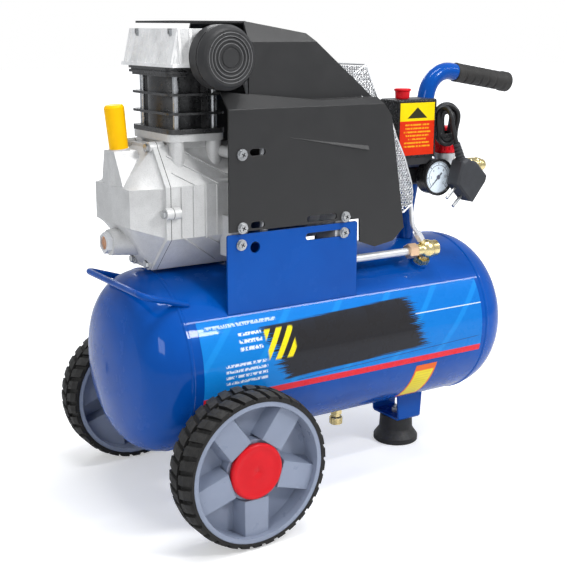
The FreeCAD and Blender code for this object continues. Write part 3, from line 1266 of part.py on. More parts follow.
def fan_shroud():
    """One-piece cowl: wide motor cover, narrow duct above it and a visor over the head."""
    t = SHROUD_T
    wide = prism_xz(lower_outline(), -SHROUD_HALF_Y, SHROUD_HALF_Y).common(
        prism_yz(shroud_section(SHROUD_HALF_Y, SHROUD_SHOULDER_Z, DUCT_HALF_Y, SHROUD_LEDGE_Z,
                                SHROUD_TIP_Z - 20),
                 SHROUD_X0 - 5, SHROUD_X1 + 5))
    duct = prism_xz([(DUCT_X0, SHROUD_SHOULDER_Z), (SHROUD_X1 - 46, SHROUD_SHOULDER_Z),
                     (SHROUD_X1 - 46, SHROUD_LEDGE_Z - 12), (DUCT_X0 + 85, DUCT_TOP_Z - 14),
                     (DUCT_X0, DUCT_TOP_Z)], -DUCT_HALF_Y, DUCT_HALF_Y)
    duct = duct.common(prism_yz(shroud_section(DUCT_HALF_Y, DUCT_SHOULDER_Z, DUCT_TOP_HALF_Y,
                                               DUCT_TOP_Z, SHAFT_Z), DUCT_X0 - 5, SHROUD_X1))
    visor = prism_xy([(VISOR_X0, -VISOR_HALF_Y + 8), (VISOR_X0 + 10, -VISOR_HALF_Y),
                      (DUCT_X0 + 3, -DUCT_TOP_HALF_Y), (DUCT_X0 + 3, DUCT_TOP_HALF_Y),
                      (VISOR_X0 + 10, VISOR_HALF_Y), (VISOR_X0, VISOR_HALF_Y - 8)],
                     DUCT_TOP_Z - t, DUCT_TOP_Z)
    creases = [cowl_crease(-1), cowl_crease(1)]
    body = wide.fuse([duct, visor] + creases)
    floor = SHROUD_TIP_Z - 30
    low = [(SHROUD_X0 - 20, floor), (SHROUD_X1 + 30, floor), (SHROUD_X1 - 24, SHROUD_SHOULDER_Z - 10),
           (SHROUD_X1 - 46, SHROUD_LEDGE_Z - 12 - t), (148, SHROUD_LEDGE_Z - 13 - t),
           (SHROUD_X0 - 20, SHROUD_LEDGE_Z + 2 - t)]
    hollow = prism_xz(low, -SHROUD_HALF_Y + t, SHROUD_HALF_Y - t).common(
        prism_yz(shroud_section(SHROUD_HALF_Y - t, SHROUD_SHOULDER_Z - 1, DUCT_HALF_Y - t,
                                SHROUD_LEDGE_Z - t + 2, floor - 10), SHROUD_X0 - 30, SHROUD_X1 + 40))
    top = DUCT_TOP_Z - t
    end_x = SHROUD_X1 - 46
    end_z = SHROUD_LEDGE_Z - 12
    flow = prism_xz([(DUCT_X0 - 5, SHROUD_SHOULDER_Z - 20), (end_x + 12, SHROUD_SHOULDER_Z - 20),
                     (end_x + 1, end_z - t - 1), (end_x - t, end_z - t + 1), (DUCT_X0 + 84, top - 14),
                     (DUCT_X0 - 5, top)], -DUCT_HALF_Y + t, DUCT_HALF_Y - t)
    flow = flow.common(prism_yz(shroud_section(DUCT_HALF_Y - t, DUCT_SHOULDER_Z - 1,
                                               DUCT_TOP_HALF_Y - t, top, SHAFT_Z), DUCT_X0 - 10, SHROUD_X1))
    bay = box(SHROUD_X0 - 10, HEAD_HALF_X + 4, -FIN_HALF_Y - 6, FIN_HALF_Y + 6,
              SHROUD_SHOULDER_Z - 10, SHROUD_LEDGE_Z + 5)
    cuts = [hollow, flow, bay]
    for s in (-1, 1):
        a = s * (SHROUD_HALF_Y - t - 1)
        b = s * (SHROUD_HALF_Y + 1)
        for x, z in ((FRONT_LUG_X, SHROUD_SCREW_Z), (REAR_LUG_X, SHROUD_SCREW_Z),
                     (FRONT_LUG_X, SHROUD_POST_Z)):
            cuts.append(rod(PLATE_BOLT_R - 1, (x, min(a, b), z), (x, max(a, b), z)))
        lo = min(a, b)
        hi = max(a, b)
        cuts.append(slot_y(FRONT_LUG_X + 22, SHROUD_POST_Z + 2, 22, SHROUD_SLOT_H, lo, hi))
        cuts.append(slot_y(REAR_LUG_X - 36, SHROUD_SCREW_Z + 2, 46, SHROUD_SLOT_H, lo, hi))
        cuts.append(slot_y(FRONT_LUG_X + 22, SHROUD_SCREW_Z + 2, 20, SHROUD_SLOT_H, lo, hi))
    return body.cut(cuts).removeSplitter()


def guard_outline(inset):
    i = inset
    z = SHAFT_Z
    return [(SHROUD_X1 - 51, z + 169 - i), (SHROUD_X1 - 32 - i, z + 128), (SHROUD_X1 - 10 - i, z + 76),
            (SHROUD_X1 + 5 - i, z + 48), (SHROUD_X1 + 18 - i, z + 14), (SHROUD_X1 + 21 - i, z - 3),
            (SHROUD_X1 + 19 - i, z - 17 + i * 0.4), (SHROUD_X1 + 6, z - 26 + i)]


def guard_section(inset):
    low = GUARD_HALF_Y - inset
    high = GUARD_TOP_HALF_Y - inset
    half = [(low, SHAFT_Z - 51), (low, SHROUD_SHOULDER_Z - 24), (high, SHROUD_LEDGE_Z - 24),
            (high, DUCT_TOP_Z)]
    return half + [(-y, z) for y, z in reversed(half)]


def fan_guard():
    """Perforated steel bowl behind the fan, open towards the motor."""
    t = GUARD_T
    ends = (SHROUD_X0, SHROUD_X1 + 40)
    foot = SHAFT_Z - 26
    peak = SHAFT_Z + 157
    outer = prism_xz(guard_outline(0) + [(SHROUD_X1 - 12, foot), (SHROUD_X1 - 72, peak)],
                     -GUARD_HALF_Y, GUARD_HALF_Y).common(prism_yz(guard_section(0), *ends))
    inner = prism_xz(guard_outline(t) + [(SHROUD_X1 - 40, foot + t), (SHROUD_X1 - 97, peak - 4)],
                     -GUARD_HALF_Y, GUARD_HALF_Y).common(prism_yz(guard_section(t), *ends))
    return outer.cut([inner, fan_shroud()])


# ================================================================ delivery line
def check_valve():
    c = radial_point(VALVE_STANDOFF)
    base = hex_rod(DRAIN_R + 4, radial_point(BUNG_RISE), radial_point(BUNG_RISE + 8))
    neck = rod(DRAIN_R, radial_point(BUNG_RISE + 6), c)
    ball = Part.makeSphere(VALVE_BALL_R, V(*c))
    cap = rod(VALVE_BALL_R - 2, c, (c[0] + VALVE_BALL_R + 2, c[1], c[2]))
    inlet = rod(DRAIN_R, c, (c[0] - 20, c[1], c[2]))
    d = unloader_direction()
    tip = V(*c) + d * 18
    stub = rod(4.5, c, tuple(tip))
    shank = rod(DRAIN_R - 3, radial_point(-TANK_WALL), radial_point(BUNG_RISE + 1))
    return union(base, neck, ball, cap, inlet, stub, shank)


def unloader_direction():
    return V(-0.6, 0, 0.8)


def pipe_route():
    c = radial_point(VALVE_STANDOFF)
    port = outlet_port()
    x0 = c[0] - 20
    return [(x0, c[1], c[2]), (PIPE_RISER_X, c[1], c[2]), (PIPE_RISER_X, c[1], CYL_Z0 - 1),
            (PIPE_RISER_X, port[1], port[2]), (port[0], port[1], port[2])]


def discharge_pipe():
    """Aluminium delivery pipe with a flare nut at each end."""
    pts = pipe_route()
    pipe = tube(pts, [PIPE_BEND_R] * 2 + [14.0], PIPE_R)
    x0 = pts[0][0]
    nut = hex_rod(PIPE_NUT_R, (x0 - 14, pts[0][1], pts[0][2]), (x0, pts[0][1], pts[0][2]))
    port = pts[-1]
    end = hex_rod(PIPE_NUT_R - 1, port, (port[0] + 7, port[1], port[2]))
    return union(pipe, nut, end)


def unloader_route():
    c = V(*radial_point(VALVE_STANDOFF))
    start = c + unloader_direction() * 18
    knee = c + unloader_direction() * 44
    return [tuple(start), tuple(knee), (SHROUD_X1 + 26, -76, MANIFOLD_Z - 32),
            (SWITCH_X0 + 20, -56, MANIFOLD_Z - 9), (SWITCH_X0 + 20, -56, switch_bottom_z())]


def unloader_tube():
    pts = unloader_route()
    body = tube(pts, [9.0, 14.0, 12.0], UNLOADER_R)
    start = V(*pts[0])
    nut_end = start + unloader_direction() * 12
    nut = hex_rod(UNLOADER_R + 3, tuple(start), tuple(nut_end))
    return union(body, nut)


def drain_valve():
    z = TANK_BOTTOM_Z - BUNG_RISE
    body = hex_rod(DRAIN_R + 1, (DRAIN_X, 0, z - 9), (DRAIN_X, 0, z))
    shank = rod(DRAIN_R - 4, (DRAIN_X, 0, z - 1), (DRAIN_X, 0, TANK_BOTTOM_Z + 1))
    nose = rod(DRAIN_R - 1, (DRAIN_X, 0, z - 13), (DRAIN_X, 0, z - 8))
    body = union(body, shank, nose)
    return body.cut(rod(3 + RUN_FIT, (DRAIN_X, 0, z - 14), (DRAIN_X, 0, z - 2)))


def drain_screw():
    z = TANK_BOTTOM_Z - BUNG_RISE - 13 - PIECE_GAP
    knob = spin([(z - 11, 0), (z - 11, DRAIN_SCREW_R - 1), (z - 10, DRAIN_SCREW_R), (z - 1, DRAIN_SCREW_R),
                 (z, DRAIN_SCREW_R - 1), (z, 0)], (DRAIN_X, 0, 0), (0, 0, 1))
    grips = []
    for i in range(12):
        cut = rod(1.0, (DRAIN_X + DRAIN_SCREW_R + 0.3, 0, z - 12), (DRAIN_X + DRAIN_SCREW_R + 0.3, 0, z + 1))
        cut.rotate(V(DRAIN_X, 0, 0), V(0, 0, 1), 30 * i)
        grips.append(cut)
    stem = rod(3, (DRAIN_X, 0, z - 1), (DRAIN_X, 0, z + 8))
    return union(knob.cut(grips), stem)


# ================================================================ pressure switch group
def switch_bottom_z():
    return MANIFOLD_Z + MANIFOLD_SIDE / 2 + SWITCH_NECK


def manifold():
    h = MANIFOLD_SIDE / 2
    y = -MANIFOLD_Y
    bar = box(MANIFOLD_X0, MANIFOLD_X1, y - h, y + h, MANIFOLD_Z - h, MANIFOLD_Z + h)
    edges = [e for e in bar.Edges if abs(e.Vertexes[0].X - e.Vertexes[1].X) > 10]
    bar = bar.makeChamfer(3, edges)
    x = handle_x_at(MANIFOLD_Z)
    nipple = rod(NIPPLE_R, (x, y + h - 1, MANIFOLD_Z), (x, -2, MANIFOLD_Z))
    nipple = nipple.cut(handle_bar(HANDLE_R))
    sx = SWITCH_X0 + SWITCH_WIDTH / 2
    neck = rod(NIPPLE_R + 2, (sx, y, MANIFOLD_Z + h - 1), (sx, y, switch_bottom_z()))
    return union(bar, nipple, neck)


def switch_y():
    return -SWITCH_FRONT_Y + SWITCH_DEPTH / 2


def switch_base():
    z = switch_bottom_z()
    cx = SWITCH_X0 + SWITCH_WIDTH / 2
    slab = rounded_slab(SWITCH_WIDTH / 2 - SWITCH_BASE_INSET, SWITCH_DEPTH / 2 - 1, z, z + SWITCH_BASE_H,
                        SWITCH_CORNER, cx, switch_y())
    block = box(cx - 20, cx + 24, switch_y() - 12, switch_y() + 12, z + SWITCH_BASE_H - 1,
                z + SWITCH_BASE_H + 40)
    relief = rod(GAUGE_R + GAUGE_RELIEF, (GAUGE_X, -GAUGE_FRONT_Y, MANIFOLD_Z),
                 (GAUGE_X, -GAUGE_FRONT_Y + GAUGE_DEPTH + GAUGE_RELIEF, MANIFOLD_Z))
    return union(slab, block).cut(relief)


def switch_cover():
    z0 = switch_bottom_z() + SWITCH_BASE_H
    z1 = z0 + SWITCH_COVER_H
    cx = SWITCH_X0 + SWITCH_WIDTH / 2
    hx = SWITCH_WIDTH / 2
    hy = SWITCH_DEPTH / 2
    outer = rounded_slab(hx, hy, z0, z1, SWITCH_CORNER, cx, switch_y())
    rim = [e for e in outer.Edges if e.BoundBox.ZMin > z1 - 0.01]
    outer = outer.makeFillet(3, rim)
    t = SWITCH_WALL
    inner = rounded_slab(hx - t, hy - t, z0 - 1, z1 - t, SWITCH_CORNER - t, cx, switch_y())
    hole = rod(SWITCH_STEM_R + RUN_FIT, (SWITCH_KNOB_X, switch_y(), z1 - t - 1),
               (SWITCH_KNOB_X, switch_y(), z1 + 1))
    gland = gland_body(cx + hx)
    return outer.cut([inner, hole]).fuse(gland)


def gland_body(x):
    return spin([(-1, 0), (-1, GLAND_R), (GLAND_LENGTH - 1.5, GLAND_R), (GLAND_LENGTH, GLAND_R - 1.5),
                 (GLAND_LENGTH, 0)], (x, -GLAND_Y, GLAND_Z), (1, 0, 0))


def switch_top_z():
    return switch_bottom_z() + SWITCH_BASE_H + SWITCH_COVER_H


def switch_knob():
    z = switch_top_z() + PIECE_GAP
    pts = [(z - 14, 0), (z - 14, SWITCH_STEM_R), (z, SWITCH_STEM_R), (z, SWITCH_KNOB_R - 2),
           (z + SWITCH_KNOB_H - 4, SWITCH_KNOB_R - 1.5), (z + SWITCH_KNOB_H - 2.5, SWITCH_KNOB_R),
           (z + SWITCH_KNOB_H - 0.5, SWITCH_KNOB_R), (z + SWITCH_KNOB_H, SWITCH_KNOB_R - 1), (z + SWITCH_KNOB_H, 0)]
    return spin(pts, (SWITCH_KNOB_X, switch_y(), 0), (0, 0, 1))


def regulator_body():
    z = REG_BOTTOM_Z
    h = REG_H
    y = -MANIFOLD_Y
    pts = [(z, 0), (z, REG_R - 4), (z + 4, REG_R), (z + h * 0.62, REG_R), (z + h * 0.66, REG_R - 2),
           (z + h - 7, REG_R - 2), (z + h - 7, REG_R - 0.5), (z + h, REG_R - 0.5), (z + h, REG_STEM_R),
           (z + h + 22, REG_STEM_R), (z + h + 22, 0)]
    body = spin(pts, (REG_X, y, 0), (0, 0, 1))
    inlet = rod(NIPPLE_R, (MANIFOLD_X1, y, MANIFOLD_Z), (REG_X, y, MANIFOLD_Z))
    out = hex_rod(NIPPLE_R + 2, (REG_X, y, COUPLER_Z), (REG_X + REG_R + 2, y, COUPLER_Z))
    return union(body, inlet, out)


def regulator_knob():
    z = REG_BOTTOM_Z + REG_H + PIECE_GAP
    h = REG_KNOB_H
    r = REG_KNOB_R
    bore = REG_STEM_R + RUN_FIT
    pts = [(z, bore), (z, r - 1), (z + 1, r), (z + h - 8, r), (z + h - 2, r - 2.5), (z + h, r - 5),
           (z + h, 0), (z + 24, 0), (z + 24, bore)]
    knob = spin(pts, (REG_X, -MANIFOLD_Y, 0), (0, 0, 1))
    flutes = []
    for i in range(16):
        cut = rod(1.4, (REG_X + r + 0.5, -MANIFOLD_Y, z + 4), (REG_X + r + 0.5, -MANIFOLD_Y, z + h - 9))
        cut.rotate(V(REG_X, -MANIFOLD_Y, 0), V(0, 0, 1), 22.5 * i)
        flutes.append(cut)
    return knob.cut(flutes)


def gauge_case():
    d = GAUGE_DEPTH
    w = GAUGE_WALL
    pts = [(0, 0), (0, GAUGE_R - 4), (3, GAUGE_R - 1), (d - 4, GAUGE_R - 1), (d - 4, GAUGE_R), (d, GAUGE_R),
           (d, GAUGE_R - w - 1), (d - 1.5, GAUGE_R - w - 1), (d - 1.5, GAUGE_R - w - 2),
           (w + 10, GAUGE_R - w - 2), (w + 10, 0)]
    back_y = -GAUGE_FRONT_Y + d
    case = spin(pts, (GAUGE_X, back_y, MANIFOLD_Z), (0, -1, 0))
    stem = rod(6, (GAUGE_X, back_y - 1, MANIFOLD_Z), (GAUGE_X, -MANIFOLD_Y - MANIFOLD_SIDE / 2, MANIFOLD_Z))
    return union(case, stem)


def gauge_dial():
    y = -GAUGE_FRONT_Y + GAUGE_DEPTH - GAUGE_WALL - 10
    r = GAUGE_R - GAUGE_WALL - 2
    plate = rod(r, (GAUGE_X, y - 1, MANIFOLD_Z), (GAUGE_X, y, MANIFOLD_Z))
    spacer = rod(r - 4, (GAUGE_X, y - 5, MANIFOLD_Z), (GAUGE_X, y - 1, MANIFOLD_Z))
    face = rod(r, (GAUGE_X, y - 6, MANIFOLD_Z), (GAUGE_X, y - 5, MANIFOLD_Z))
    post = rod(1.2, (GAUGE_X, y - 9, MANIFOLD_Z), (GAUGE_X, y - 6, MANIFOLD_Z))
    return union(plate, spacer, face, post)


def gauge_needle():
    y = -GAUGE_FRONT_Y + GAUGE_DEPTH - GAUGE_WALL - 16 - PIECE_GAP
    hub = rod(3.2, (GAUGE_X, y - 1.6, MANIFOLD_Z), (GAUGE_X, y, MANIFOLD_Z))
    a = math.radians(225)
    blade = prism_xz([(-5, -1.3), (0, -1.6), (NEEDLE_LENGTH, -0.4), (NEEDLE_LENGTH, 0.4), (0, 1.6), (-5, 1.3)],
                     y - 1.2, y - 0.4)
    blade.rotate(V(0, 0, 0), V(0, 1, 0), -math.degrees(a))
    blade.translate(V(GAUGE_X, 0, MANIFOLD_Z))
    bore = rod(1.2 + RUN_FIT, (GAUGE_X, y - 3, MANIFOLD_Z), (GAUGE_X, y + 1, MANIFOLD_Z))
    return union(hub, blade).cut(bore)


def gauge_lens():
    y = -GAUGE_FRONT_Y
    return rod(GAUGE_R - GAUGE_WALL - 1, (GAUGE_X, y, MANIFOLD_Z), (GAUGE_X, y + 1.5, MANIFOLD_Z))


def safety_valve():
    y0 = -MANIFOLD_Y + MANIFOLD_SIDE / 2
    z = MANIFOLD_Z
    n = SAFETY_LENGTH
    base = hex_rod(SAFETY_R + 1, (SAFETY_X, y0, z), (SAFETY_X, y0 + 8, z))
    body = rod(SAFETY_R, (SAFETY_X, y0 + 7, z), (SAFETY_X, y0 + n, z))
    return union(base, body).cut(rod(2 + RUN_FIT, (SAFETY_X, y0 + n - 10, z), (SAFETY_X, y0 + n + 1, z)))


def safety_ring():
    y0 = -MANIFOLD_Y + MANIFOLD_SIDE / 2 + SAFETY_LENGTH
    z = MANIFOLD_Z
    pin = rod(2, (SAFETY_X, y0 - 8, z), (SAFETY_X, y0 + 6, z))
    disc = rod(3.6, (SAFETY_X, y0 + PIECE_GAP, z), (SAFETY_X, y0 + 2, z))
    ring = Part.makeTorus(8, 1.1, V(SAFETY_X, y0 + 13, z), V(1, 0, 0))
    return union(pin, disc, ring)


def outlet_coupler():
    y = -MANIFOLD_Y
    x0 = REG_X + REG_R + 2
    n = COUPLER_LENGTH
    r = COUPLER_R
    pts = [(0, 0), (0, r + 1.5), (9, r + 1.5), (9, r), (n - 10, r), (n - 10, r + 2), (n - 6, r + 2),
           (n - 5, r + 1), (n, r), (n, COUPLER_BORE_R), (n - 22, COUPLER_BORE_R), (n - 22, 0)]
    return spin(pts, (x0, y, COUPLER_Z), (1, 0, 0))


def coupler_sleeve():
    y = -MANIFOLD_Y
    x1 = REG_X + REG_R + 2 + COUPLER_LENGTH - 10 - PIECE_GAP
    x0 = x1 - SLEEVE_LENGTH
    r = SLEEVE_R
    b = COUPLER_R + RUN_FIT
    n = SLEEVE_LENGTH
    pts = [(0, b), (0, r - 1), (1, r), (4, r), (5, r - 0.8), (7, r - 0.8), (8, r), (n - 8, r),
           (n - 7, r - 0.8), (n - 5, r - 0.8), (n - 4, r), (n - 1, r), (n, r - 1), (n, b)]
    return spin(pts, (x0, y, COUPLER_Z), (1, 0, 0))


# ================================================================ mains lead
def cord_start():
    return SWITCH_X0 + SWITCH_WIDTH + GLAND_LENGTH


def hank_point(u, w, z):
    """A point of the hank: u along its width, w away from the front, z its height."""
    a = math.radians(HANK_TURN)
    return (HANK_X + u * math.cos(a) + w * math.sin(a), -HANK_Y - u * math.sin(a) + w * math.cos(a), z)


def hank_ring():
    z0 = HANK_BOTTOM_Z
    z1 = z0 + HANK_HEIGHT
    half = HANK_DEPTH / 2
    outer = stadium(HANK_WIDTH / 2, z0, z1, 0, -half, half)
    hole = stadium(HANK_WIDTH / 2 - HANK_RING, z0 + HANK_RING, z1 - HANK_RING, 0, -half - 1, half + 1)
    ring = outer.cut(hole)
    ring.rotate(V(0, 0, 0), V(0, 0, 1), -HANK_TURN)
    ring.translate(V(HANK_X, -HANK_Y, 0))
    return ring


def power_cord():
    lead = rod(CORD_R, (cord_start(), -GLAND_Y, GLAND_Z), (cord_start() + 10, -GLAND_Y, GLAND_Z))
    return lead.cut(hank_ring())


def stadium(half_w, z0, z1, cx, y0, y1):
    body = box(cx - half_w, cx + half_w, y0, y1, z0 + half_w, z1 - half_w)
    ends = [rod(half_w, (cx, y0, z), (cx, y1, z)) for z in (z0 + half_w, z1 - half_w)]
    return body.fuse(ends)


def cord_hank():
    """Bundled lead: its outer shape, with the last strand leading to the plug."""
    z1 = HANK_BOTTOM_Z + HANK_HEIGHT
    front = -HANK_DEPTH / 2
    lane = HANK_WIDTH / 2 - CORD_R
    top = V(STRAIN_TOP[0], -PLUG_Y, STRAIN_TOP[1])
    pts = [hank_point(-lane, front + CORD_R, z1 - 23), hank_point(-lane + 0.3, front + 2.5, z1 - 12.4),
           hank_point(-lane + 4.7, front - 4.1, z1 - 4.5), hank_point(-2.9, front - 13.4, z1 - 4.5),
           hank_point(1.5, front - 20, z1 - 12.4), tuple(top - plug_axis() * 20), tuple(top)]
    radii = full_radii(pts)
    print("lead-out radii", [round(r, 1) for r in radii])
    return union(hank_ring(), tube(pts, radii, CORD_R))


def plug_axis():
    d = V(STRAIN_BOTTOM[0] - STRAIN_TOP[0], 0, STRAIN_BOTTOM[1] - STRAIN_TOP[1])
    return d.normalize()


def power_plug():
    """Angled mains plug with a ribbed strain relief."""
    top = (STRAIN_TOP[0], -PLUG_Y, STRAIN_TOP[1])
    n = math.hypot(STRAIN_BOTTOM[0] - STRAIN_TOP[0], STRAIN_BOTTOM[1] - STRAIN_TOP[1])
    pts = [(0, 0), (0, CORD_R + 1.2)]
    ribs = 5
    pitch = n / ribs
    for i in range(ribs):
        r = CORD_R + 1.4 + (STRAIN_R - CORD_R - 1.4) * (i + 1) / ribs
        pts += [(i * pitch + 0.5, r), (i * pitch + pitch - 1.5, r), (i * pitch + pitch - 1.5, r - 1.2),
                (i * pitch + pitch, r - 1.2)]
    pts += [(n + 4, STRAIN_R), (n + 4, 0)]
    relief = spin(pts, top, tuple(plug_axis()))
    x, z = STRAIN_BOTTOM
    outline = [(x - 7, z - 1), (x + 2, z + 4), (x + 20, z - 3), (x + 40, z - 23), (x + 38, z - 31),
               (x + 16, z - 58), (x + 8, z - 56), (x - 15, z - 32), (x - 13, z - 22)]
    body = prism_xz(outline, -PLUG_Y - PLUG_HALF_T, -PLUG_Y + PLUG_HALF_T)
    long_edges = [e for e in body.Edges if abs(e.Vertexes[0].Y - e.Vertexes[1].Y) < 0.1]
    body = body.makeChamfer(3, long_edges)
    return union(body, relief)


def plug_pins():
    x, z = STRAIN_BOTTOM
    a = V(x - 15, 0, z - 32)
    b = V(x + 8, 0, z - 56)
    mid = (a + b) * 0.5
    along = (b - a).normalize()
    out = V(along.z, 0, -along.x)
    if out.x > 0:
        out = out * -1
    pins = []
    for s in (-1, 1):
        root = mid + along * (s * PIN_SPACING / 2)
        tip = root + out * PIN_LENGTH
        pins.append(rod(PIN_R, (root.x, -PLUG_Y, root.z), (tip.x, -PLUG_Y, tip.z)))
    return Part.makeCompound(pins)


# ================================================================ output
def overall_x():
    left = LOOP_REACH_X - LOOP_ROD_R
    tank_left = TANK_X0 - DOME_DEPTH
    end = V(HANDLE_CORNER_X, 0, HANDLE_CORNER_Z) + grip_axis() * (GRIP_START + GRIP_LENGTH)
    a = math.radians(GRIP_DROP_DEG)
    right = max(end.x + (GRIP_END_R - 3) * math.sin(a),
                end.x - 3 * math.cos(a) + GRIP_END_R * math.sin(a))
    return min(left, tank_left), right


X_LEFT, X_RIGHT = overall_x()
X_MIDDLE = (X_LEFT + X_RIGHT) / 2

NODES = {
    "air_tank": air_tank,
    "lifting_loop": lifting_loop,
    "saddle_plates": saddle_plates,
    "axle_bracket": axle_bracket,
    "axle_bolts": axle_bolts,
    "wheel_hub_front": lambda: wheel_hub(-1),
    "wheel_hub_rear": lambda: wheel_hub(1),
    "tyre_front": lambda: tyre(-1),
    "tyre_rear": lambda: tyre(1),
    "hub_cap_front": lambda: hub_cap(-1),
    "hub_cap_rear": lambda: hub_cap(1),
    "foot_bracket": foot_bracket,
    "rubber_foot": rubber_foot,
    "foot_bolt": foot_bolt,
    "handle_tube": handle_tube,
    "handle_grip": handle_grip,
    "crankcase": crankcase,
    "crankcase_cover": crankcase_cover,
    "cover_gasket": cover_gasket,
    "cover_bolts": cover_bolts,
    "oil_plug": oil_plug,
    "sight_bezel": sight_glass,
    "sight_lens": sight_lens,
    "cylinder_barrel": cylinder_barrel,
    "valve_plate": valve_plate,
    "cylinder_head": cylinder_head,
    "head_studs": head_studs,
    "air_filter": air_filter,
    "piston": piston,
    "connecting_rod": connecting_rod,
    "rotor_shaft": rotor_shaft,
    "motor_stator": motor_stator,
    "end_shield": end_shield,
    "cooling_fan": cooling_fan,
    "fan_guard": fan_guard,
    "fan_shroud": fan_shroud,
    "side_bolts": side_bolts,
    "check_valve": check_valve,
    "discharge_pipe": discharge_pipe,
    "unloader_tube": unloader_tube,
    "drain_valve": drain_valve,
    "drain_screw": drain_screw,
    "manifold": manifold,
    "switch_base": switch_base,
    "switch_cover": switch_cover,
    "switch_knob": switch_knob,
    "regulator_body": regulator_body,
    "regulator_knob": regulator_knob,
    "gauge_case": gauge_case,
    "gauge_dial": gauge_dial,
    "gauge_needle": gauge_needle,
    "gauge_lens": gauge_lens,
    "safety_valve": safety_valve,
    "safety_ring": safety_ring,
    "outlet_coupler": outlet_coupler,
    "coupler_sleeve": coupler_sleeve,
    "power_cord": power_cord,
    "cord_hank": cord_hank,
    "power_plug": power_plug,
    "plug_pins": plug_pins,
}


def save(name, shape):
    moved = shape.copy()
    moved.translate(V(-X_MIDDLE, 0, 0))
    moved.exportStep("parts/" + name + ".step")
    box_ = moved.BoundBox
    state = "ok" if moved.isValid() else "INVALID"
    print("%-18s solids %d vol %9.0f %s  x %.0f %.0f y %.0f %.0f z %.0f %.0f" % (
        name, len(moved.Solids), moved.Volume, state, box_.XMin, box_.XMax, box_.YMin, box_.YMax,
        box_.ZMin, box_.ZMax))


def main():
    os.makedirs("parts", exist_ok=True)
    print("nodes", len(NODES), "x middle", round(X_MIDDLE, 2))
    for name, build in NODES.items():
        save(name, build())


main()
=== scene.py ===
import bmesh
import bpy
import math
from mathutils import Matrix, Vector


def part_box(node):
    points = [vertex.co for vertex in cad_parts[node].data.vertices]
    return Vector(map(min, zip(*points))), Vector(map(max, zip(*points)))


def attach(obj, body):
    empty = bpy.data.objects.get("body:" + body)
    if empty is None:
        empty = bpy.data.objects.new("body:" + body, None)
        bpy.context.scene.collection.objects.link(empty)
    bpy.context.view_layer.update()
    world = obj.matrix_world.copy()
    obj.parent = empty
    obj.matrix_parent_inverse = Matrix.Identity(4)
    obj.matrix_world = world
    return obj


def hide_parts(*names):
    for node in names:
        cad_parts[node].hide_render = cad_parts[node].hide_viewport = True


# Dresses a wheeled piston compressor: finishes for every piece, the tank's prints, gauge dial,
# expanded metal guard, tyre treads, small fittings and the bundled mains lead.
# Metres, +Z up; places that go through at() are in millimetres.

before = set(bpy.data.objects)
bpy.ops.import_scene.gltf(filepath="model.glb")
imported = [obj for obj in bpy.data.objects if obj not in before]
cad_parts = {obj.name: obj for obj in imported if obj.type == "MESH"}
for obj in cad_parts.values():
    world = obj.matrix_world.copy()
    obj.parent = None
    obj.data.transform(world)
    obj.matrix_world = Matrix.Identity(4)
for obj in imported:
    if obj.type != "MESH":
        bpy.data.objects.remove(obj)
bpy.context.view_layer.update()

MM = 0.001
AXLE_X = -0.22508          # the wheel axle's place along X
TANK_AXIS_Z = 193.0
TANK_R = 117.0
DUST = (0.32, 0.31, 0.29, 1)
BLUE_SHEEN = (0.12, 0.40, 1.0, 1)   # tint of the paint's own reflection


def at(x, y, z):
    """A point given in millimetres from the wheel axle, the centre plane and the floor."""
    return Vector((AXLE_X + x * MM, y * MM, z * MM))


# ---------------------------------------------------------------- finishes
def node(tree, kind, inputs=None, **settings):
    """Add a node; each input given is a socket to link or a value to set."""
    made = tree.nodes.new(kind)
    for key, value in settings.items():
        setattr(made, key, value)
    for key, value in (inputs or {}).items():
        if isinstance(value, bpy.types.NodeSocket):
            tree.links.new(value, made.inputs[key])
        else:
            made.inputs[key].default_value = value
    return made


def put(tree, kind, inputs=None, **settings):
    return node(tree, "ShaderNode" + kind, inputs, **settings)


def calc(tree, operation, *values):
    return put(tree, "Math", dict(enumerate(values)), operation=operation).outputs[0]


def plus(tree, a, b):
    return calc(tree, "ADD", a, b)


def minus(tree, a, b):
    return calc(tree, "SUBTRACT", a, b)


def times(tree, first, *rest):
    for value in rest:
        first = calc(tree, "MULTIPLY", first, value)
    return first


def blend_colour(tree, factor, a, b):
    return put(tree, "Mix", {0: factor, 6: a, 7: b}, data_type="RGBA").outputs[2]


def spread(tree, value, low, high, from_low=0.3, from_high=0.7):
    return put(tree, "MapRange", {"Value": value, "From Min": from_low, "From Max": from_high,
                                  "To Min": low, "To Max": high}).outputs["Result"]


def scaled(tree, vector, scale):
    return put(tree, "Mapping", {"Vector": vector, "Scale": scale}).outputs[0]


def place(tree, scale=(1, 1, 1)):
    return scaled(tree, put(tree, "TexCoord").outputs["Object"], scale)


def noise(tree, vector, scale, detail=4.0, roughness=0.55):
    return put(tree, "TexNoise", {"Vector": vector, "Scale": scale, "Detail": detail,
                                  "Roughness": roughness}).outputs[0]


def tone(colour, factor):
    return tuple(min(1.0, c * factor) for c in colour[:3]) + (1.0,)


def start_finish(name, metallic=0.0, coat=0.0, coat_roughness=0.05, specular=0.5):
    material = bpy.data.materials.new(name)
    material.use_nodes = True
    tree = material.node_tree
    shader = tree.nodes["Principled BSDF"]
    shader.inputs["Metallic"].default_value = metallic
    shader.inputs["Coat Weight"].default_value = coat
    shader.inputs["Coat Roughness"].default_value = coat_roughness
    shader.inputs["Specular IOR Level"].default_value = specular
    return material, tree, shader


def surface(tree, shader, colour, roughness):
    tree.links.new(colour, shader.inputs["Base Color"])
    tree.links.new(roughness, shader.inputs["Roughness"])


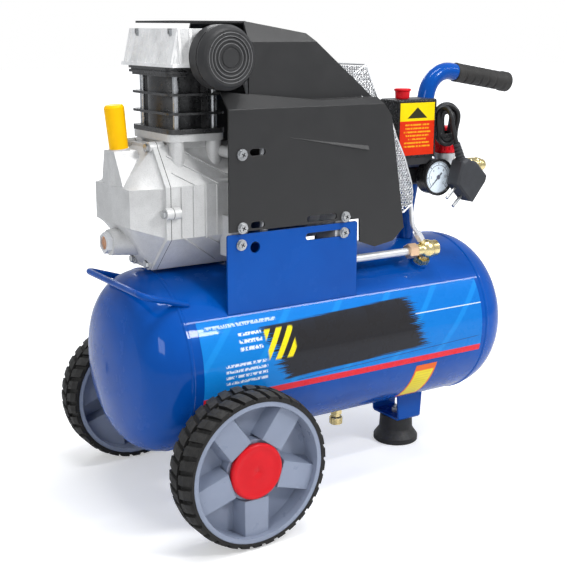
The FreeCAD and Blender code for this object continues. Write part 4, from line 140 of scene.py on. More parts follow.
def bump(tree, shader, height, strength, distance, edge=0.0):
    """Fine relief; with an edge radius the sharp edges also catch light as if rounded."""
    made = put(tree, "Bump", {"Strength": strength, "Distance": distance, "Height": height})
    if edge:
        soft = put(tree, "Bevel", {"Radius": edge}, samples=4)
        tree.links.new(soft.outputs[0], made.inputs["Normal"])
    tree.links.new(made.outputs[0], shader.inputs["Normal"])


def finish(name, colour, roughness, metallic=0.0, specular=0.5, mottle=(30.0, 0.08),
           rough_range=0.06, grain=(900.0, 0.15, 0.0002), dust=0.0, edge=0.0):
    """Mottled colour, uneven gloss and a fine relief, all on object coordinates."""
    material, tree, shader = start_finish(name, metallic, specular=specular)
    here = place(tree)
    fineness, contrast = mottle
    base = blend_colour(tree, spread(tree, noise(tree, here, fineness), 0, 1), tone(colour, 1 - contrast),
                        tone(colour, 1 + contrast))
    if dust:
        up = put(tree, "SeparateXYZ", {0: put(tree, "NewGeometry").outputs["Normal"]}).outputs[2]
        settled = times(tree, spread(tree, up, 0, dust, 0.1, 1.0),
                        spread(tree, noise(tree, here, fineness * 4), 0.3, 1.0))
        base = blend_colour(tree, settled, base, DUST)
    wear = noise(tree, here, fineness * 3.1, 5.0)
    smoothest = max(0.02, roughness - rough_range)
    surface(tree, shader, base, spread(tree, wear, smoothest, roughness + rough_range))
    bump(tree, shader, noise(tree, here, grain[0], 3.0, 0.6), grain[1], grain[2], edge)
    return material


def tank_paint():
    """Baked blue gloss over rolled steel, with a faint orange peel and slow waves."""
    material, tree, shader = start_finish("baked_blue", coat=0.27, coat_roughness=0.015, specular=0.12)
    shader.inputs["Specular Tint"].default_value = BLUE_SHEEN
    here = place(tree)
    base = blend_colour(tree, spread(tree, noise(tree, here, 9.0), 0, 1), (0.001, 0.056, 0.300, 1),
                        (0.001, 0.076, 0.380, 1))
    surface(tree, shader, base, spread(tree, noise(tree, here, 40.0), 0.16, 0.3))
    peel = noise(tree, here, 420.0, 2.0)
    wave = noise(tree, here, 22.0, 1.0)
    bump(tree, shader, plus(tree, times(tree, peel, 0.05), wave), 0.16, 0.0015, 0.0012)
    return material


def cast_metal(name, colour, grit=1.0, roughness=0.42):
    """Bead-blasted casting: pitted, slightly uneven in tone."""
    material, tree, shader = start_finish(name, metallic=0.22, specular=0.45)
    here = place(tree)
    cloud = noise(tree, here, 26.0, 6.0, 0.65)
    base = blend_colour(tree, spread(tree, cloud, 0, 1), tone(colour, 0.86), tone(colour, 1.1))
    pits = put(tree, "TexVoronoi", {"Vector": here, "Scale": 620.0}).outputs["Distance"]
    base = blend_colour(tree, spread(tree, pits, 0.35, 0.0, 0.05, 0.45), base, tone(colour, 0.55))
    surface(tree, shader, base, spread(tree, noise(tree, here, 160.0), roughness - 0.08, roughness + 0.1))
    bump(tree, shader, plus(tree, noise(tree, here, 750.0, 3.0), times(tree, pits, 0.6)), 0.32 * grit,
         0.0005, 0.0004)
    return material


def turned_brass():
    """Bright brass with faint streaks along X."""
    material, tree, shader = start_finish("turned_brass", metallic=1.0)
    here = place(tree)
    base = blend_colour(tree, spread(tree, noise(tree, here, 60.0), 0, 1), (0.70, 0.55, 0.24, 1),
                        (0.84, 0.72, 0.40, 1))
    surface(tree, shader, base, spread(tree, noise(tree, here, 210.0), 0.2, 0.34))
    bump(tree, shader, noise(tree, place(tree, (1, 30, 30)), 60.0, 2.0), 0.1, 0.0002)
    return material


def plated_steel(name="zinc_plate", colour=(0.52, 0.53, 0.54), roughness=0.28):
    """Bright plating in small patches of slightly different tone."""
    material, tree, shader = start_finish(name, metallic=1.0)
    here = place(tree)
    cells = put(tree, "TexVoronoi", {"Vector": here, "Scale": 240.0}).outputs["Color"]
    tint = put(tree, "SeparateXYZ", {0: cells}).outputs[0]
    base = blend_colour(tree, tint, tone(colour, 0.88), tone(colour, 1.08))
    surface(tree, shader, base, spread(tree, noise(tree, here, 120.0), roughness - 0.07, roughness + 0.1))
    bump(tree, shader, noise(tree, place(tree, (6, 1, 1)), 500.0), 0.08, 0.0002)
    return material


def clear_lens(name, colour, roughness=0.03, alpha=0.18):
    material, tree, shader = start_finish(name, specular=0.6, coat=0.3)
    shader.inputs["Alpha"].default_value = alpha
    here = place(tree)
    cloud = spread(tree, noise(tree, here, 60.0), 0, 1)
    base = blend_colour(tree, cloud, tone(colour, 0.95), tone(colour, 1.0))
    surface(tree, shader, base, spread(tree, noise(tree, here, 200.0), roughness, roughness + 0.05))
    return material


BAKED_BLUE = tank_paint()
COWL_GREY = finish("cowl_grey", (0.016, 0.016, 0.0165), 0.42, specular=0.45, mottle=(14.0, 0.06),
                   grain=(1400.0, 0.22, 0.0002), rough_range=0.05, edge=0.0012)
FILTER_GREY = finish("filter_grey", (0.030, 0.030, 0.031), 0.5, specular=0.25, mottle=(30.0, 0.1),
                     grain=(900.0, 0.3, 0.0003), edge=0.0008)
CAST_ALLOY = cast_metal("cast_alloy", (0.60, 0.60, 0.595))
HEAD_ALLOY = cast_metal("head_alloy", (0.86, 0.86, 0.855), 1.2, 0.36)
BLACK_IRON = finish("black_iron", (0.019, 0.019, 0.020), 0.32, specular=0.7, mottle=(70.0, 0.3),
                    grain=(800.0, 0.45, 0.0005), rough_range=0.12, edge=0.0008)
# Dark fibre finish of the gasket, also used as the painted shade of the bolt heads' cross recesses.
GASKET_AND_RECESS_SHADE = finish("gasket_fibre_and_recess_shade", (0.012, 0.012, 0.012), 0.8)
HUB_PLASTIC = finish("hub_plastic", (0.235, 0.272, 0.360), 0.34, specular=0.35, mottle=(18.0, 0.05),
                     grain=(500.0, 0.08, 0.0002), rough_range=0.08, edge=0.0016)
TYRE_RUBBER = finish("tyre_rubber", (0.017, 0.0165, 0.016), 0.62, specular=0.22, mottle=(60.0, 0.3),
                     grain=(700.0, 0.5, 0.0004), dust=0.12, rough_range=0.1, edge=0.0008)
GRIP_RUBBER = finish("grip_rubber", (0.024, 0.023, 0.022), 0.62, specular=0.3, mottle=(50.0, 0.2),
                     grain=(1500.0, 0.4, 0.0003))
FOOT_RUBBER = finish("foot_rubber", (0.020, 0.020, 0.021), 0.55, specular=0.35, mottle=(60.0, 0.25),
                     grain=(800.0, 0.35, 0.0003), dust=0.1)
CAP_RED = finish("cap_red", (0.62, 0.007, 0.014), 0.34, specular=0.2, mottle=(40.0, 0.06),
                 grain=(600.0, 0.08, 0.0002), edge=0.0012)
KNOB_RED = finish("knob_red", (0.68, 0.006, 0.014), 0.28, specular=0.25, mottle=(60.0, 0.08),
                  grain=(900.0, 0.08, 0.0002), edge=0.0008)
PLUG_AMBER = finish("plug_amber", (1.0, 0.53, 0.001), 0.34, specular=0.14, mottle=(40.0, 0.04),
                    grain=(700.0, 0.1, 0.0002))
SWITCH_BLACK = finish("switch_black", (0.012, 0.012, 0.013), 0.28, specular=0.35, mottle=(50.0, 0.15),
                      grain=(900.0, 0.12, 0.0002), edge=0.001)
LEAD_BLACK = finish("lead_black", (0.012, 0.012, 0.013), 0.42, specular=0.35, mottle=(80.0, 0.2),
                    grain=(1200.0, 0.2, 0.0002))
# Lighter grey for the filter lid's raised ridges: a painted highlight along them.
RIDGE_HIGHLIGHT_GREY = finish("ridge_painted_highlight", (0.13, 0.13, 0.132), 0.36, specular=0.4, mottle=(60.0, 0.1),
                    grain=(900.0, 0.1, 0.0001))
PLUG_GREY = finish("plug_grey", (0.034, 0.036, 0.041), 0.5, specular=0.3, mottle=(60.0, 0.15),
                   grain=(1100.0, 0.35, 0.0003), edge=0.0016)
PIPE_ALLOY = finish("drawn_alloy", (0.66, 0.67, 0.69), 0.4, metallic=0.55, mottle=(50.0, 0.06),
                    grain=(900.0, 0.1, 0.0002))
MANIFOLD_DARK = finish("manifold_dark", (0.020, 0.020, 0.022), 0.42, specular=0.4, mottle=(60.0, 0.2),
                       grain=(900.0, 0.3, 0.0003), edge=0.001)
STEEL = plated_steel("raw_steel", (0.42, 0.42, 0.43), 0.36)
ZINC = plated_steel()
GUARD_STEEL = plated_steel("guard_steel", (0.82, 0.83, 0.84), 0.34)
COPPER_NUT = finish("copper_nut", (0.80, 0.55, 0.36), 0.36, metallic=0.8, mottle=(80.0, 0.12),
                    grain=(900.0, 0.12, 0.0002))
BRASS = turned_brass()
DIAL_WHITE = finish("dial_enamel", (0.80, 0.90, 1.0), 0.4, specular=0.3, mottle=(60.0, 0.03),
                    grain=(500.0, 0.03, 0.0001))
DIAL_INK = finish("dial_ink", (0.02, 0.03, 0.06), 0.5, mottle=(200.0, 0.1))
CLEAR = clear_lens("clear_lens", (0.95, 0.97, 1.0), alpha=0.05)
OIL_LENS = clear_lens("oil_lens", (0.55, 0.24, 0.10), alpha=0.9, roughness=0.2)

FINISHED_NODES = (
    (BAKED_BLUE, "air_tank lifting_loop saddle_plates axle_bracket foot_bracket handle_tube"),
    (ZINC, "axle_bolts foot_bolt cover_bolts head_studs side_bolts plug_pins"),
    (STEEL, "rotor_shaft motor_stator safety_ring"),
    (HUB_PLASTIC, "wheel_hub_front wheel_hub_rear"),
    (TYRE_RUBBER, "tyre_front tyre_rear"),
    (CAP_RED, "hub_cap_front hub_cap_rear"),
    (FOOT_RUBBER, "rubber_foot"),
    (GRIP_RUBBER, "handle_grip"),
    (CAST_ALLOY, "crankcase crankcase_cover piston connecting_rod end_shield"),
    (HEAD_ALLOY, "cylinder_head"),
    (BLACK_IRON, "cylinder_barrel valve_plate"),
    (GASKET_AND_RECESS_SHADE, "cover_gasket"),
    (PLUG_AMBER, "oil_plug"),
    (PIPE_ALLOY, "sight_bezel discharge_pipe unloader_tube regulator_body"),
    (OIL_LENS, "sight_lens"),
    (FILTER_GREY, "air_filter"),
    (SWITCH_BLACK, "cooling_fan switch_cover gauge_case"),
    (GUARD_STEEL, "fan_guard"),
    (COWL_GREY, "fan_shroud"),
    (BRASS, "check_valve drain_valve drain_screw safety_valve outlet_coupler coupler_sleeve"),
    (MANIFOLD_DARK, "manifold switch_base"),
    (KNOB_RED, "switch_knob regulator_knob"),
    (DIAL_WHITE, "gauge_dial"),
    (DIAL_INK, "gauge_needle"),
    (CLEAR, "gauge_lens"),
    (LEAD_BLACK, "power_cord cord_hank"),
    (PLUG_GREY, "power_plug"),
)


def dress_frame():
    for material, names in FINISHED_NODES:
        for name in names.split():
            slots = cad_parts[name].data.materials
            slots.clear()
            slots.append(material)


# ---------------------------------------------------------------- mesh helpers
def link_piece(name, data, body="frame"):
    obj = bpy.data.objects.new(name, data)
    bpy.context.scene.collection.objects.link(obj)
    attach(obj, body)
    return obj


def whole_piece(name, work, material, body="frame"):
    """Turn a bmesh into one object that has a single material."""
    mesh = bpy.data.meshes.new(name)
    work.to_mesh(mesh)
    work.free()
    mesh.materials.clear()
    mesh.materials.append(material)
    for polygon in mesh.polygons:
        polygon.material_index = 0
    return link_piece(name, mesh, body)


def add_faces(work, vertices, faces):
    made = [work.verts.new(v) for v in vertices]
    for face in faces:
        work.faces.new([made[k] for k in face])


def ring_faces(start, after, count):
    """Quads between two closed rings of the same count, given by their first indices."""
    return [(start + k, start + (k + 1) % count, after + (k + 1) % count, after + k) for k in range(count)]


def new_piece(name, vertices, faces, material, body="frame", uvs=None, smooth=False):
    mesh = bpy.data.meshes.new(name)
    mesh.from_pydata([tuple(v) for v in vertices], [], faces)
    if uvs:
        layer = mesh.uv_layers.new(name="print")
        for loop in mesh.loops:
            layer.data[loop.index].uv = uvs[loop.vertex_index]
    mesh.materials.append(material)
    mesh.validate()
    work = bmesh.new()
    work.from_mesh(mesh)
    bmesh.ops.recalc_face_normals(work, faces=work.faces)
    work.to_mesh(mesh)
    work.free()
    for polygon in mesh.polygons:
        polygon.use_smooth = smooth
    return link_piece(name, mesh, body)


def sheet_on(name, point, columns, rows, thickness, material):
    """A thin closed plate; point(u, v) gives a place and its outward direction."""
    top = []
    under = []
    uvs = []
    for j in range(rows + 1):
        for i in range(columns + 1):
            u = i / columns
            v = j / rows
            where, out = point(u, v)
            top.append(where + out * thickness)
            under.append(where)
            uvs.append((u, v))
    count = len(top)
    wide = columns + 1
    faces = []
    for j in range(rows):
        for i in range(columns):
            a = j * wide + i
            faces.append((a, a + 1, a + wide + 1, a + wide))
            faces.append((count + a, count + a + wide, count + a + wide + 1, count + a + 1))
    edge = ([i for i in range(wide)] + [j * wide + columns for j in range(1, rows + 1)]
            + [rows * wide + i for i in range(columns - 1, -1, -1)]
            + [j * wide for j in range(rows - 1, 0, -1)])
    for a, b in zip(edge, edge[1:] + edge[:1]):
        faces.append((a, b, count + b, count + a))
    return new_piece(name, top + under, faces, material, uvs=uvs + uvs)


# ---------------------------------------------------------------- decals
DECAL_ASPECT = 4.3        # width of the tank's print over its height
PRINT_LIFT = 0.02         # gap between paint and print, in millimetres
PRINT_THICK = 0.00018     # metres
DECAL_SPAN = (-31.6, 415.6, -16.0, 35.4)     # two places along X, two angles in degrees
NOTICE_SPAN = (303, 340, -56.0, -19.5)
SWITCH_FACE_Y = -66.02
SWITCH_CORNER = (297.5, 437.5)
SWITCH_PLATE = (59.5, 70.0)
# Blank text blocks: row pitch, gap within it, then the low, high, left and right limits.
PRINT_BLOCKS = ((1.0, 0.0, 0.885, 0.93, 0.022, 0.245), (0.088, 0.38, 0.555, 0.80, 0.118, 0.190),
                (0.068, 0.38, 0.19, 0.46, 0.068, 0.20))


def print_uv(tree):
    uv = put(tree, "UVMap", uv_map="print").outputs[0]
    split = put(tree, "SeparateXYZ", {0: uv})
    return uv, split.outputs[0], split.outputs[1]


def step(tree, value, edge, softness=0.004):
    return spread(tree, value, 0.0, 1.0, edge - softness, edge + softness)


def inside(tree, value, low, high, softness=0.004):
    below = minus(tree, 1.0, step(tree, value, high, softness))
    return times(tree, step(tree, value, low, softness), below)


def broken_rows(tree, uv, scale, low, high, clear=0.40, solid=0.50):
    """A stretched noise that cuts printed rows into short dashes."""
    return spread(tree, noise(tree, scaled(tree, uv, scale), 1.0, 2.0), low, high, clear, solid)


def decal_print():
    """Azure field, ragged black brush band, hazard bars, blank dashed rows and a red foot line."""
    material, tree, shader = start_finish("tank_decal", coat=0.27, coat_roughness=0.02, specular=0.12)
    shader.inputs["Specular Tint"].default_value = BLUE_SHEEN
    uv, u, v = print_uv(tree)
    across = times(tree, u, DECAL_ASPECT)
    streaks = noise(tree, scaled(tree, uv, (2.2, 30.0, 1.0)), 2.0, 5.0, 0.7)
    rag = noise(tree, scaled(tree, uv, (2.0, 26.0, 1.0)), 3.0, 6.0, 0.7)
    ragged = plus(tree, u, times(tree, minus(tree, rag, 0.5), 0.22))
    slope = plus(tree, v, times(tree, u, -0.16))
    brushed = plus(tree, slope, times(tree, minus(tree, streaks, 0.5), 0.09))
    lean = plus(tree, ragged, times(tree, v, 0.10))
    field = blend_colour(tree, spread(tree, plus(tree, u, v), 0, 1, 0.2, 1.7),
                         (0.006, 0.215, 0.64, 1), (0.004, 0.150, 0.52, 1))
    glints = calc(tree, "FRACT", times(tree, plus(tree, across, times(tree, v, -0.9)), 1.3))
    field = blend_colour(tree, times(tree, inside(tree, glints, 0.42, 0.55, 0.02), 0.35), field,
                         (0.016, 0.31, 0.76, 1))
    band = times(tree, inside(tree, lean, 0.275, 0.80, 0.006), inside(tree, brushed, 0.105, 0.795, 0.01))
    base = blend_colour(tree, band, field, (0.022, 0.020, 0.019, 1))
    bars = calc(tree, "FRACT", times(tree, plus(tree, across, times(tree, v, -0.62)), 6.0))
    patch = times(tree, inside(tree, plus(tree, u, times(tree, v, 0.02)), 0.215, 0.308, 0.003),
                  inside(tree, v, 0.42, 0.79, 0.012))
    scuff = noise(tree, scaled(tree, uv, (DECAL_ASPECT, 1.0, 1.0)), 40.0, 6.0, 0.8)
    scuff = spread(tree, scuff, 0.35, 1.0, 0.32, 0.45)
    yellow = times(tree, inside(tree, bars, 0.25, 0.75, 0.03), patch, scuff)
    base = blend_colour(tree, yellow, base, (0.86, 0.70, 0.01, 1))
    foot = minus(tree, 1.0, step(tree, v, 0.085, 0.006))
    base = blend_colour(tree, foot, base, (0.72, 0.020, 0.030, 1))
    hair = times(tree, inside(tree, slope, 0.055, 0.062, 0.002), inside(tree, u, 0.30, 0.985, 0.01))
    base = blend_colour(tree, hair, base, (0.02, 0.03, 0.10, 1))
    rule = times(tree, inside(tree, v, 0.655, 0.668, 0.002), step(tree, u, 0.735, 0.003), 0.75)
    base = blend_colour(tree, rule, base, (0.75, 0.82, 0.9, 1))
    broken = broken_rows(tree, uv, (150.0, 22.0, 1.0), 0.0, 1.0)
    for pitch, gap, low, high, start, end in PRINT_BLOCKS:
        rows = calc(tree, "FRACT", times(tree, minus(tree, v, low), 1.0 / pitch))
        block = times(tree, inside(tree, v, low, high, 0.004), inside(tree, u, start, end, 0.002))
        dashes = times(tree, inside(tree, rows, gap, 0.85, 0.08), block, broken, 0.9)
        base = blend_colour(tree, dashes, base, (0.80, 0.86, 0.93, 1))
    surface(tree, shader, base, spread(tree, noise(tree, place(tree), 60.0), 0.22, 0.36))
    bump(tree, shader, noise(tree, place(tree), 22.0, 1.0), 0.12, 0.0015)
    return material


def on_tank(x0, x1, low_angle, high_angle):
    """A patch of the tank's side: u runs along X, v runs up between two angles in degrees."""
    r = TANK_R + PRINT_LIFT

    def point(u, v):
        angle = math.radians(low_angle + (high_angle - low_angle) * v)
        out = Vector((0, -math.cos(angle), math.sin(angle)))
        return at(x0 + (x1 - x0) * u, r * out.y, TANK_AXIS_Z + r * out.z), out
    return point


def tank_decal():
    return sheet_on("tank_decal", on_tank(*DECAL_SPAN), 90, 24, PRINT_THICK, decal_print())


def tank_notice():
    """Small two-tone plate with blank rows, low on the tank."""
    material, tree, shader = start_finish("tank_notice", specular=0.2)
    _, u, v = print_uv(tree)
    face = times(tree, inside(tree, u, 0.07, 0.93, 0.01), inside(tree, v, 0.05, 0.86, 0.01))
    rows = calc(tree, "FRACT", times(tree, v, 13.0))
    lines = times(tree, inside(tree, rows, 0.3, 0.6, 0.05), 0.25, inside(tree, u, 0.16, 0.84, 0.02), face)
    base = blend_colour(tree, face, (0.78, 0.13, 0.01, 1), (0.80, 0.66, 0.02, 1))
    base = blend_colour(tree, lines, base, (0.35, 0.22, 0.02, 1))
    surface(tree, shader, base, spread(tree, noise(tree, place(tree), 90.0), 0.3, 0.42))
    return sheet_on("tank_notice", on_tank(*NOTICE_SPAN), 8, 12, PRINT_THICK, material)


def switch_notice():
    """Yellow over red plate on the switch, with a plain triangle and blank dashed rows."""
    material, tree, shader = start_finish("switch_notice", specular=0.15)
    uv, u, v = print_uv(tree)
    mottled = noise(tree, place(tree), 80.0)
    red = blend_colour(tree, mottled, (0.58, 0.020, 0.003, 1), (0.66, 0.028, 0.004, 1))
    yellow = blend_colour(tree, mottled, (0.78, 0.56, 0.001, 1), (0.84, 0.62, 0.002, 1))
    off_middle = calc(tree, "ABSOLUTE", minus(tree, u, 0.5))
    slant = plus(tree, v, times(tree, off_middle, 0.72))
    triangle = times(tree, step(tree, v, 0.705, 0.003), minus(tree, 1.0, step(tree, slant, 0.915, 0.003)))
    yellow = blend_colour(tree, triangle, yellow, (0.030, 0.028, 0.012, 1))
    rows = times(tree, v, 14.6)
    chance = put(tree, "TexWhiteNoise", {"W": calc(tree, "FLOOR", rows)}, noise_dimensions="1D")
    reach = minus(tree, plus(tree, times(tree, chance.outputs["Value"], 0.14), 0.26), off_middle)
    dashes = times(tree, inside(tree, calc(tree, "FRACT", rows), 0.26, 0.70, 0.08),
                   step(tree, reach, 0.0, 0.01), inside(tree, v, 0.137, 0.615, 0.004),
                   broken_rows(tree, uv, (34.0, 8.0, 1.0), 0.2, 1.0, 0.42))
    red = blend_colour(tree, dashes, red, (0.80, 0.36, 0.010, 1))
    base = blend_colour(tree, step(tree, v, 0.655, 0.004), red, yellow)
    surface(tree, shader, base, spread(tree, mottled, 0.32, 0.42))

    def point(u, v):
        x = SWITCH_CORNER[0] + SWITCH_PLATE[0] * u
        z = SWITCH_CORNER[1] + SWITCH_PLATE[1] * v
        return at(x, SWITCH_FACE_Y, z), Vector((0, -1, 0))
    return sheet_on("switch_notice", point, 6, 8, 0.0002, material)


# ---------------------------------------------------------------- gauge printing
GAUGE_X = 365.0
GAUGE_Z = 405.0
DIAL_Y = -69.6
DIAL_R = 22.4
NUMBER_R = 12.6
DIAL_START = 225          # degrees, where the scale begins; it runs 270 degrees clockwise


def dial_marks():
    """Scale bars on the dial, from lower left round to lower right."""
    vertices = []
    faces = []

    def bar(angle, r0, r1, width):
        a = math.radians(angle)
        along = Vector((math.cos(a), 0, math.sin(a)))
        side = Vector((-math.sin(a), 0, math.cos(a)))
        base = len(vertices)
        for y in (DIAL_Y, DIAL_Y - 0.15):
            for r, w in ((r0, -width), (r0, width), (r1, width), (r1, -width)):
                p = along * r + side * (w / 2)
                vertices.append(at(GAUGE_X + p.x, y, GAUGE_Z + p.z))
        quads = [(0, 1, 2, 3), (7, 6, 5, 4), (0, 4, 5, 1), (1, 5, 6, 2), (2, 6, 7, 3), (3, 7, 4, 0)]
        faces.extend(tuple(base + k for k in q) for q in quads)

    ticks = 48
    for i in range(ticks + 1):
        major = i % 8 == 0
        angle = DIAL_START - 270 * i / ticks
        bar(angle, 17.4 if major else 19.0, 21.4, 1.1 if major else 0.5)
    arc = 60
    for i in range(arc):
        bar(DIAL_START - 270 * (i + 0.5) / arc, 16.2, 16.9, 16.6 * math.radians(270 / arc) * 1.02)
    return new_piece("dial_marks", vertices, faces, DIAL_INK)


def dial_plate():
    """Pale dial that fills the gauge's bezel."""
    front = DIAL_Y * MM
    back = (DIAL_Y + 0.8) * MM
    section = [(front, 0.00001), (front, DIAL_R * MM), (back, DIAL_R * MM), (back, 0.00001)]
    centre = at(GAUGE_X, 0, GAUGE_Z)
    plate = turned("dial_plate", section, (centre.x, centre.z), DIAL_WHITE, "frame")
    plate.data.shade_flat()
    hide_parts("gauge_dial")
    return plate


def pointer():
    """Tapered hand with a round boss, pointing at the bottom of the scale."""
    heading = math.radians(DIAL_START)
    along = Vector((math.cos(heading), 0, math.sin(heading)))
    aside = Vector((-math.sin(heading), 0, math.cos(heading)))
    outline = [(17.5, 0.25), (3.0, 1.0), (2.2, 2.4), (0.0, 3.2), (-2.2, 2.4), (-3.4, 1.1), (-8.0, 1.3)]
    outline += [(r, -w) for r, w in reversed(outline)]
    vertices = []
    for y in (DIAL_Y - 0.25, DIAL_Y - 0.7):
        for r, w in outline:
            spot = along * r + aside * w
            vertices.append(at(GAUGE_X + spot.x, y, GAUGE_Z + spot.z))
    n = len(outline)
    faces = [tuple(range(n)), tuple(range(2 * n - 1, n - 1, -1))]
    faces += [(k, n + k, n + (k + 1) % n, (k + 1) % n) for k in range(n)]
    hand = new_piece("pointer", vertices, faces, DIAL_INK, body="needle_unit")
    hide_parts("gauge_needle")
    return hand


def dial_numbers():
    """Even numbers from 0 to 12 round the dial."""
    work = bmesh.new()
    for i in range(7):
        angle = math.radians(DIAL_START - 45 * i)
        curve = bpy.data.curves.new("number", "FONT")
        curve.body = str(2 * i)
        curve.size = 5.0 * MM
        curve.align_x = "CENTER"
        curve.align_y = "CENTER"
        curve.extrude = 0.06 * MM
        obj = bpy.data.objects.new("number", curve)
        bpy.context.scene.collection.objects.link(obj)
        bpy.context.view_layer.update()
        flat = bpy.data.meshes.new_from_object(obj.evaluated_get(bpy.context.evaluated_depsgraph_get()))
        where = at(GAUGE_X + NUMBER_R * math.cos(angle), DIAL_Y - 0.08, GAUGE_Z + NUMBER_R * math.sin(angle))
        flat.transform(Matrix.Translation(where) @ Matrix.Rotation(math.pi / 2, 4, "X"))
        work.from_mesh(flat)
        bpy.data.objects.remove(obj)
    return whole_piece("dial_numbers", work, DIAL_INK)


# ---------------------------------------------------------------- tyres
WHEEL_R = 0.0963          # metres, as all the tyre's sizes
WHEEL_OUT = 0.192         # from the centre plane to the tyre's outer side
TYRE_STEPS = 104
RIM_R = 0.0875
TYRE_W = 0.051
TREAD_PITCHES = 34
LUG_SHARE = 0.66          # a block's length over the pitch
LUG_WIDTH = 0.0228
LUG_HEIGHT = 0.0068
LUG_SKEW = 0.26


def tree_with(name, lengths, others):
    """A geometry tree with named inputs, and its input sockets."""
    tree = bpy.data.node_groups.new(name, "GeometryNodeTree")
    tree.interface.new_socket("Geometry", in_out="INPUT", socket_type="NodeSocketGeometry")
    for label, kind in [(label, "Float") for label in lengths] + others:
        tree.interface.new_socket(label, in_out="INPUT", socket_type="NodeSocket" + kind)
    tree.interface.new_socket("Geometry", in_out="OUTPUT", socket_type="NodeSocketGeometry")
    return tree, tree.nodes.new("NodeGroupInput").outputs


def grow_on_points(tree, points, instance, material, rotation=None, swing=None):
    """Close a tree: copies on the points, made real and given one material."""
    inputs = {"Points": points, "Instance": instance}
    if rotation is not None:
        inputs["Rotation"] = rotation
    placed = node(tree, "GeometryNodeInstanceOnPoints", inputs).outputs[0]
    if swing is not None:
        turned_about = node(tree, "GeometryNodeRotateInstances", {"Instances": placed, "Rotation": swing})
        placed = turned_about.outputs[0]
    plain = node(tree, "GeometryNodeRealizeInstances", {"Geometry": placed}).outputs[0]
    done = node(tree, "GeometryNodeSetMaterial", {"Geometry": plain, "Material": material}).outputs[0]
    tree.links.new(done, tree.nodes.new("NodeGroupOutput").inputs[0])
    return tree


def triple(tree, x=0.0, y=0.0, z=0.0):
    return put(tree, "CombineXYZ", {0: x, 1: y, 2: z}).outputs[0]


def grown(name, tree, values, points=()):
    """Run a tree on an empty mesh, or on given points, and give back the plain mesh it makes."""
    start = bpy.data.meshes.new(name + "_seed")
    start.from_pydata([tuple(p) for p in points], [], [])
    seed = bpy.data.objects.new(name + "_seed", start)
    bpy.context.scene.collection.objects.link(seed)
    modifier = seed.modifiers.new("grow", "NODES")
    modifier.node_group = tree
    for item in tree.interface.items_tree:
        if item.item_type == "SOCKET" and item.in_out == "INPUT" and item.name in values:
            modifier[item.identifier] = values[item.name]
    depsgraph = bpy.context.evaluated_depsgraph_get()
    depsgraph.update()
    mesh = bpy.data.meshes.new_from_object(seed.evaluated_get(depsgraph), depsgraph=depsgraph)
    seed.modifiers.remove(modifier)
    bpy.data.objects.remove(seed)
    mesh.name = name
    return mesh


def lug_tree():
    """One row of skewed tread blocks round a hub axis along Y."""
    tree, given = tree_with("tread_lugs", ("Radius", "Offset", "Phase", "Length", "Width", "Height", "Skew"),
                            [("Pitches", "Int"), ("Rubber", "Material")])
    line = node(tree, "GeometryNodeMeshLine", {"Count": given["Pitches"]}, mode="OFFSET").outputs[0]
    index = node(tree, "GeometryNodeInputIndex").outputs[0]
    share = plus(tree, calc(tree, "DIVIDE", index, given["Pitches"]), given["Phase"])
    angle = times(tree, share, math.tau)
    x = times(tree, calc(tree, "SINE", angle), given["Radius"])
    z = times(tree, calc(tree, "COSINE", angle), given["Radius"])
    where = triple(tree, x, given["Offset"], z)
    ring = node(tree, "GeometryNodeSetPosition", {"Geometry": line, "Position": where})
    size = triple(tree, given["Length"], given["Width"], given["Height"])
    block = node(tree, "GeometryNodeMeshCube",
                 {"Size": size, "Vertices X": 3, "Vertices Y": 3, "Vertices Z": 2}).outputs[0]
    position = node(tree, "GeometryNodeInputPosition").outputs[0]
    lean = times(tree, put(tree, "SeparateXYZ", {0: position}).outputs[1], given["Skew"])
    block = node(tree, "GeometryNodeSetPosition", {"Geometry": block, "Offset": triple(tree, lean)})
    facing = node(tree, "FunctionNodeEulerToRotation", {0: triple(tree, y=angle)}).outputs[0]
    return grow_on_points(tree, ring.outputs[0], block.outputs[0], given["Rubber"], facing)


def carcass():
    """Closed ring of tyre rubber without its blocks, about the Y axis."""
    half = TYRE_W / 2
    outer = [(half - 0.0004, RIM_R + 0.0001), (half - 0.0004, RIM_R + 0.0035),
             (half - 0.0022, WHEEL_R - 0.0066), (half - 0.006, WHEEL_R - 0.0056), (0.012, WHEEL_R - 0.0050)]
    rings = [(-y, r) for y, r in outer] + [(0, WHEEL_R - 0.0048)] + outer[::-1]
    vertices = []
    faces = []
    n = len(rings)
    for i in range(TYRE_STEPS):
        a = math.tau * i / TYRE_STEPS
        for y, r in rings:
            vertices.append((r * math.sin(a), y, r * math.cos(a)))
        faces += ring_faces(i * n, (i + 1) % TYRE_STEPS * n, n)
    return vertices, faces


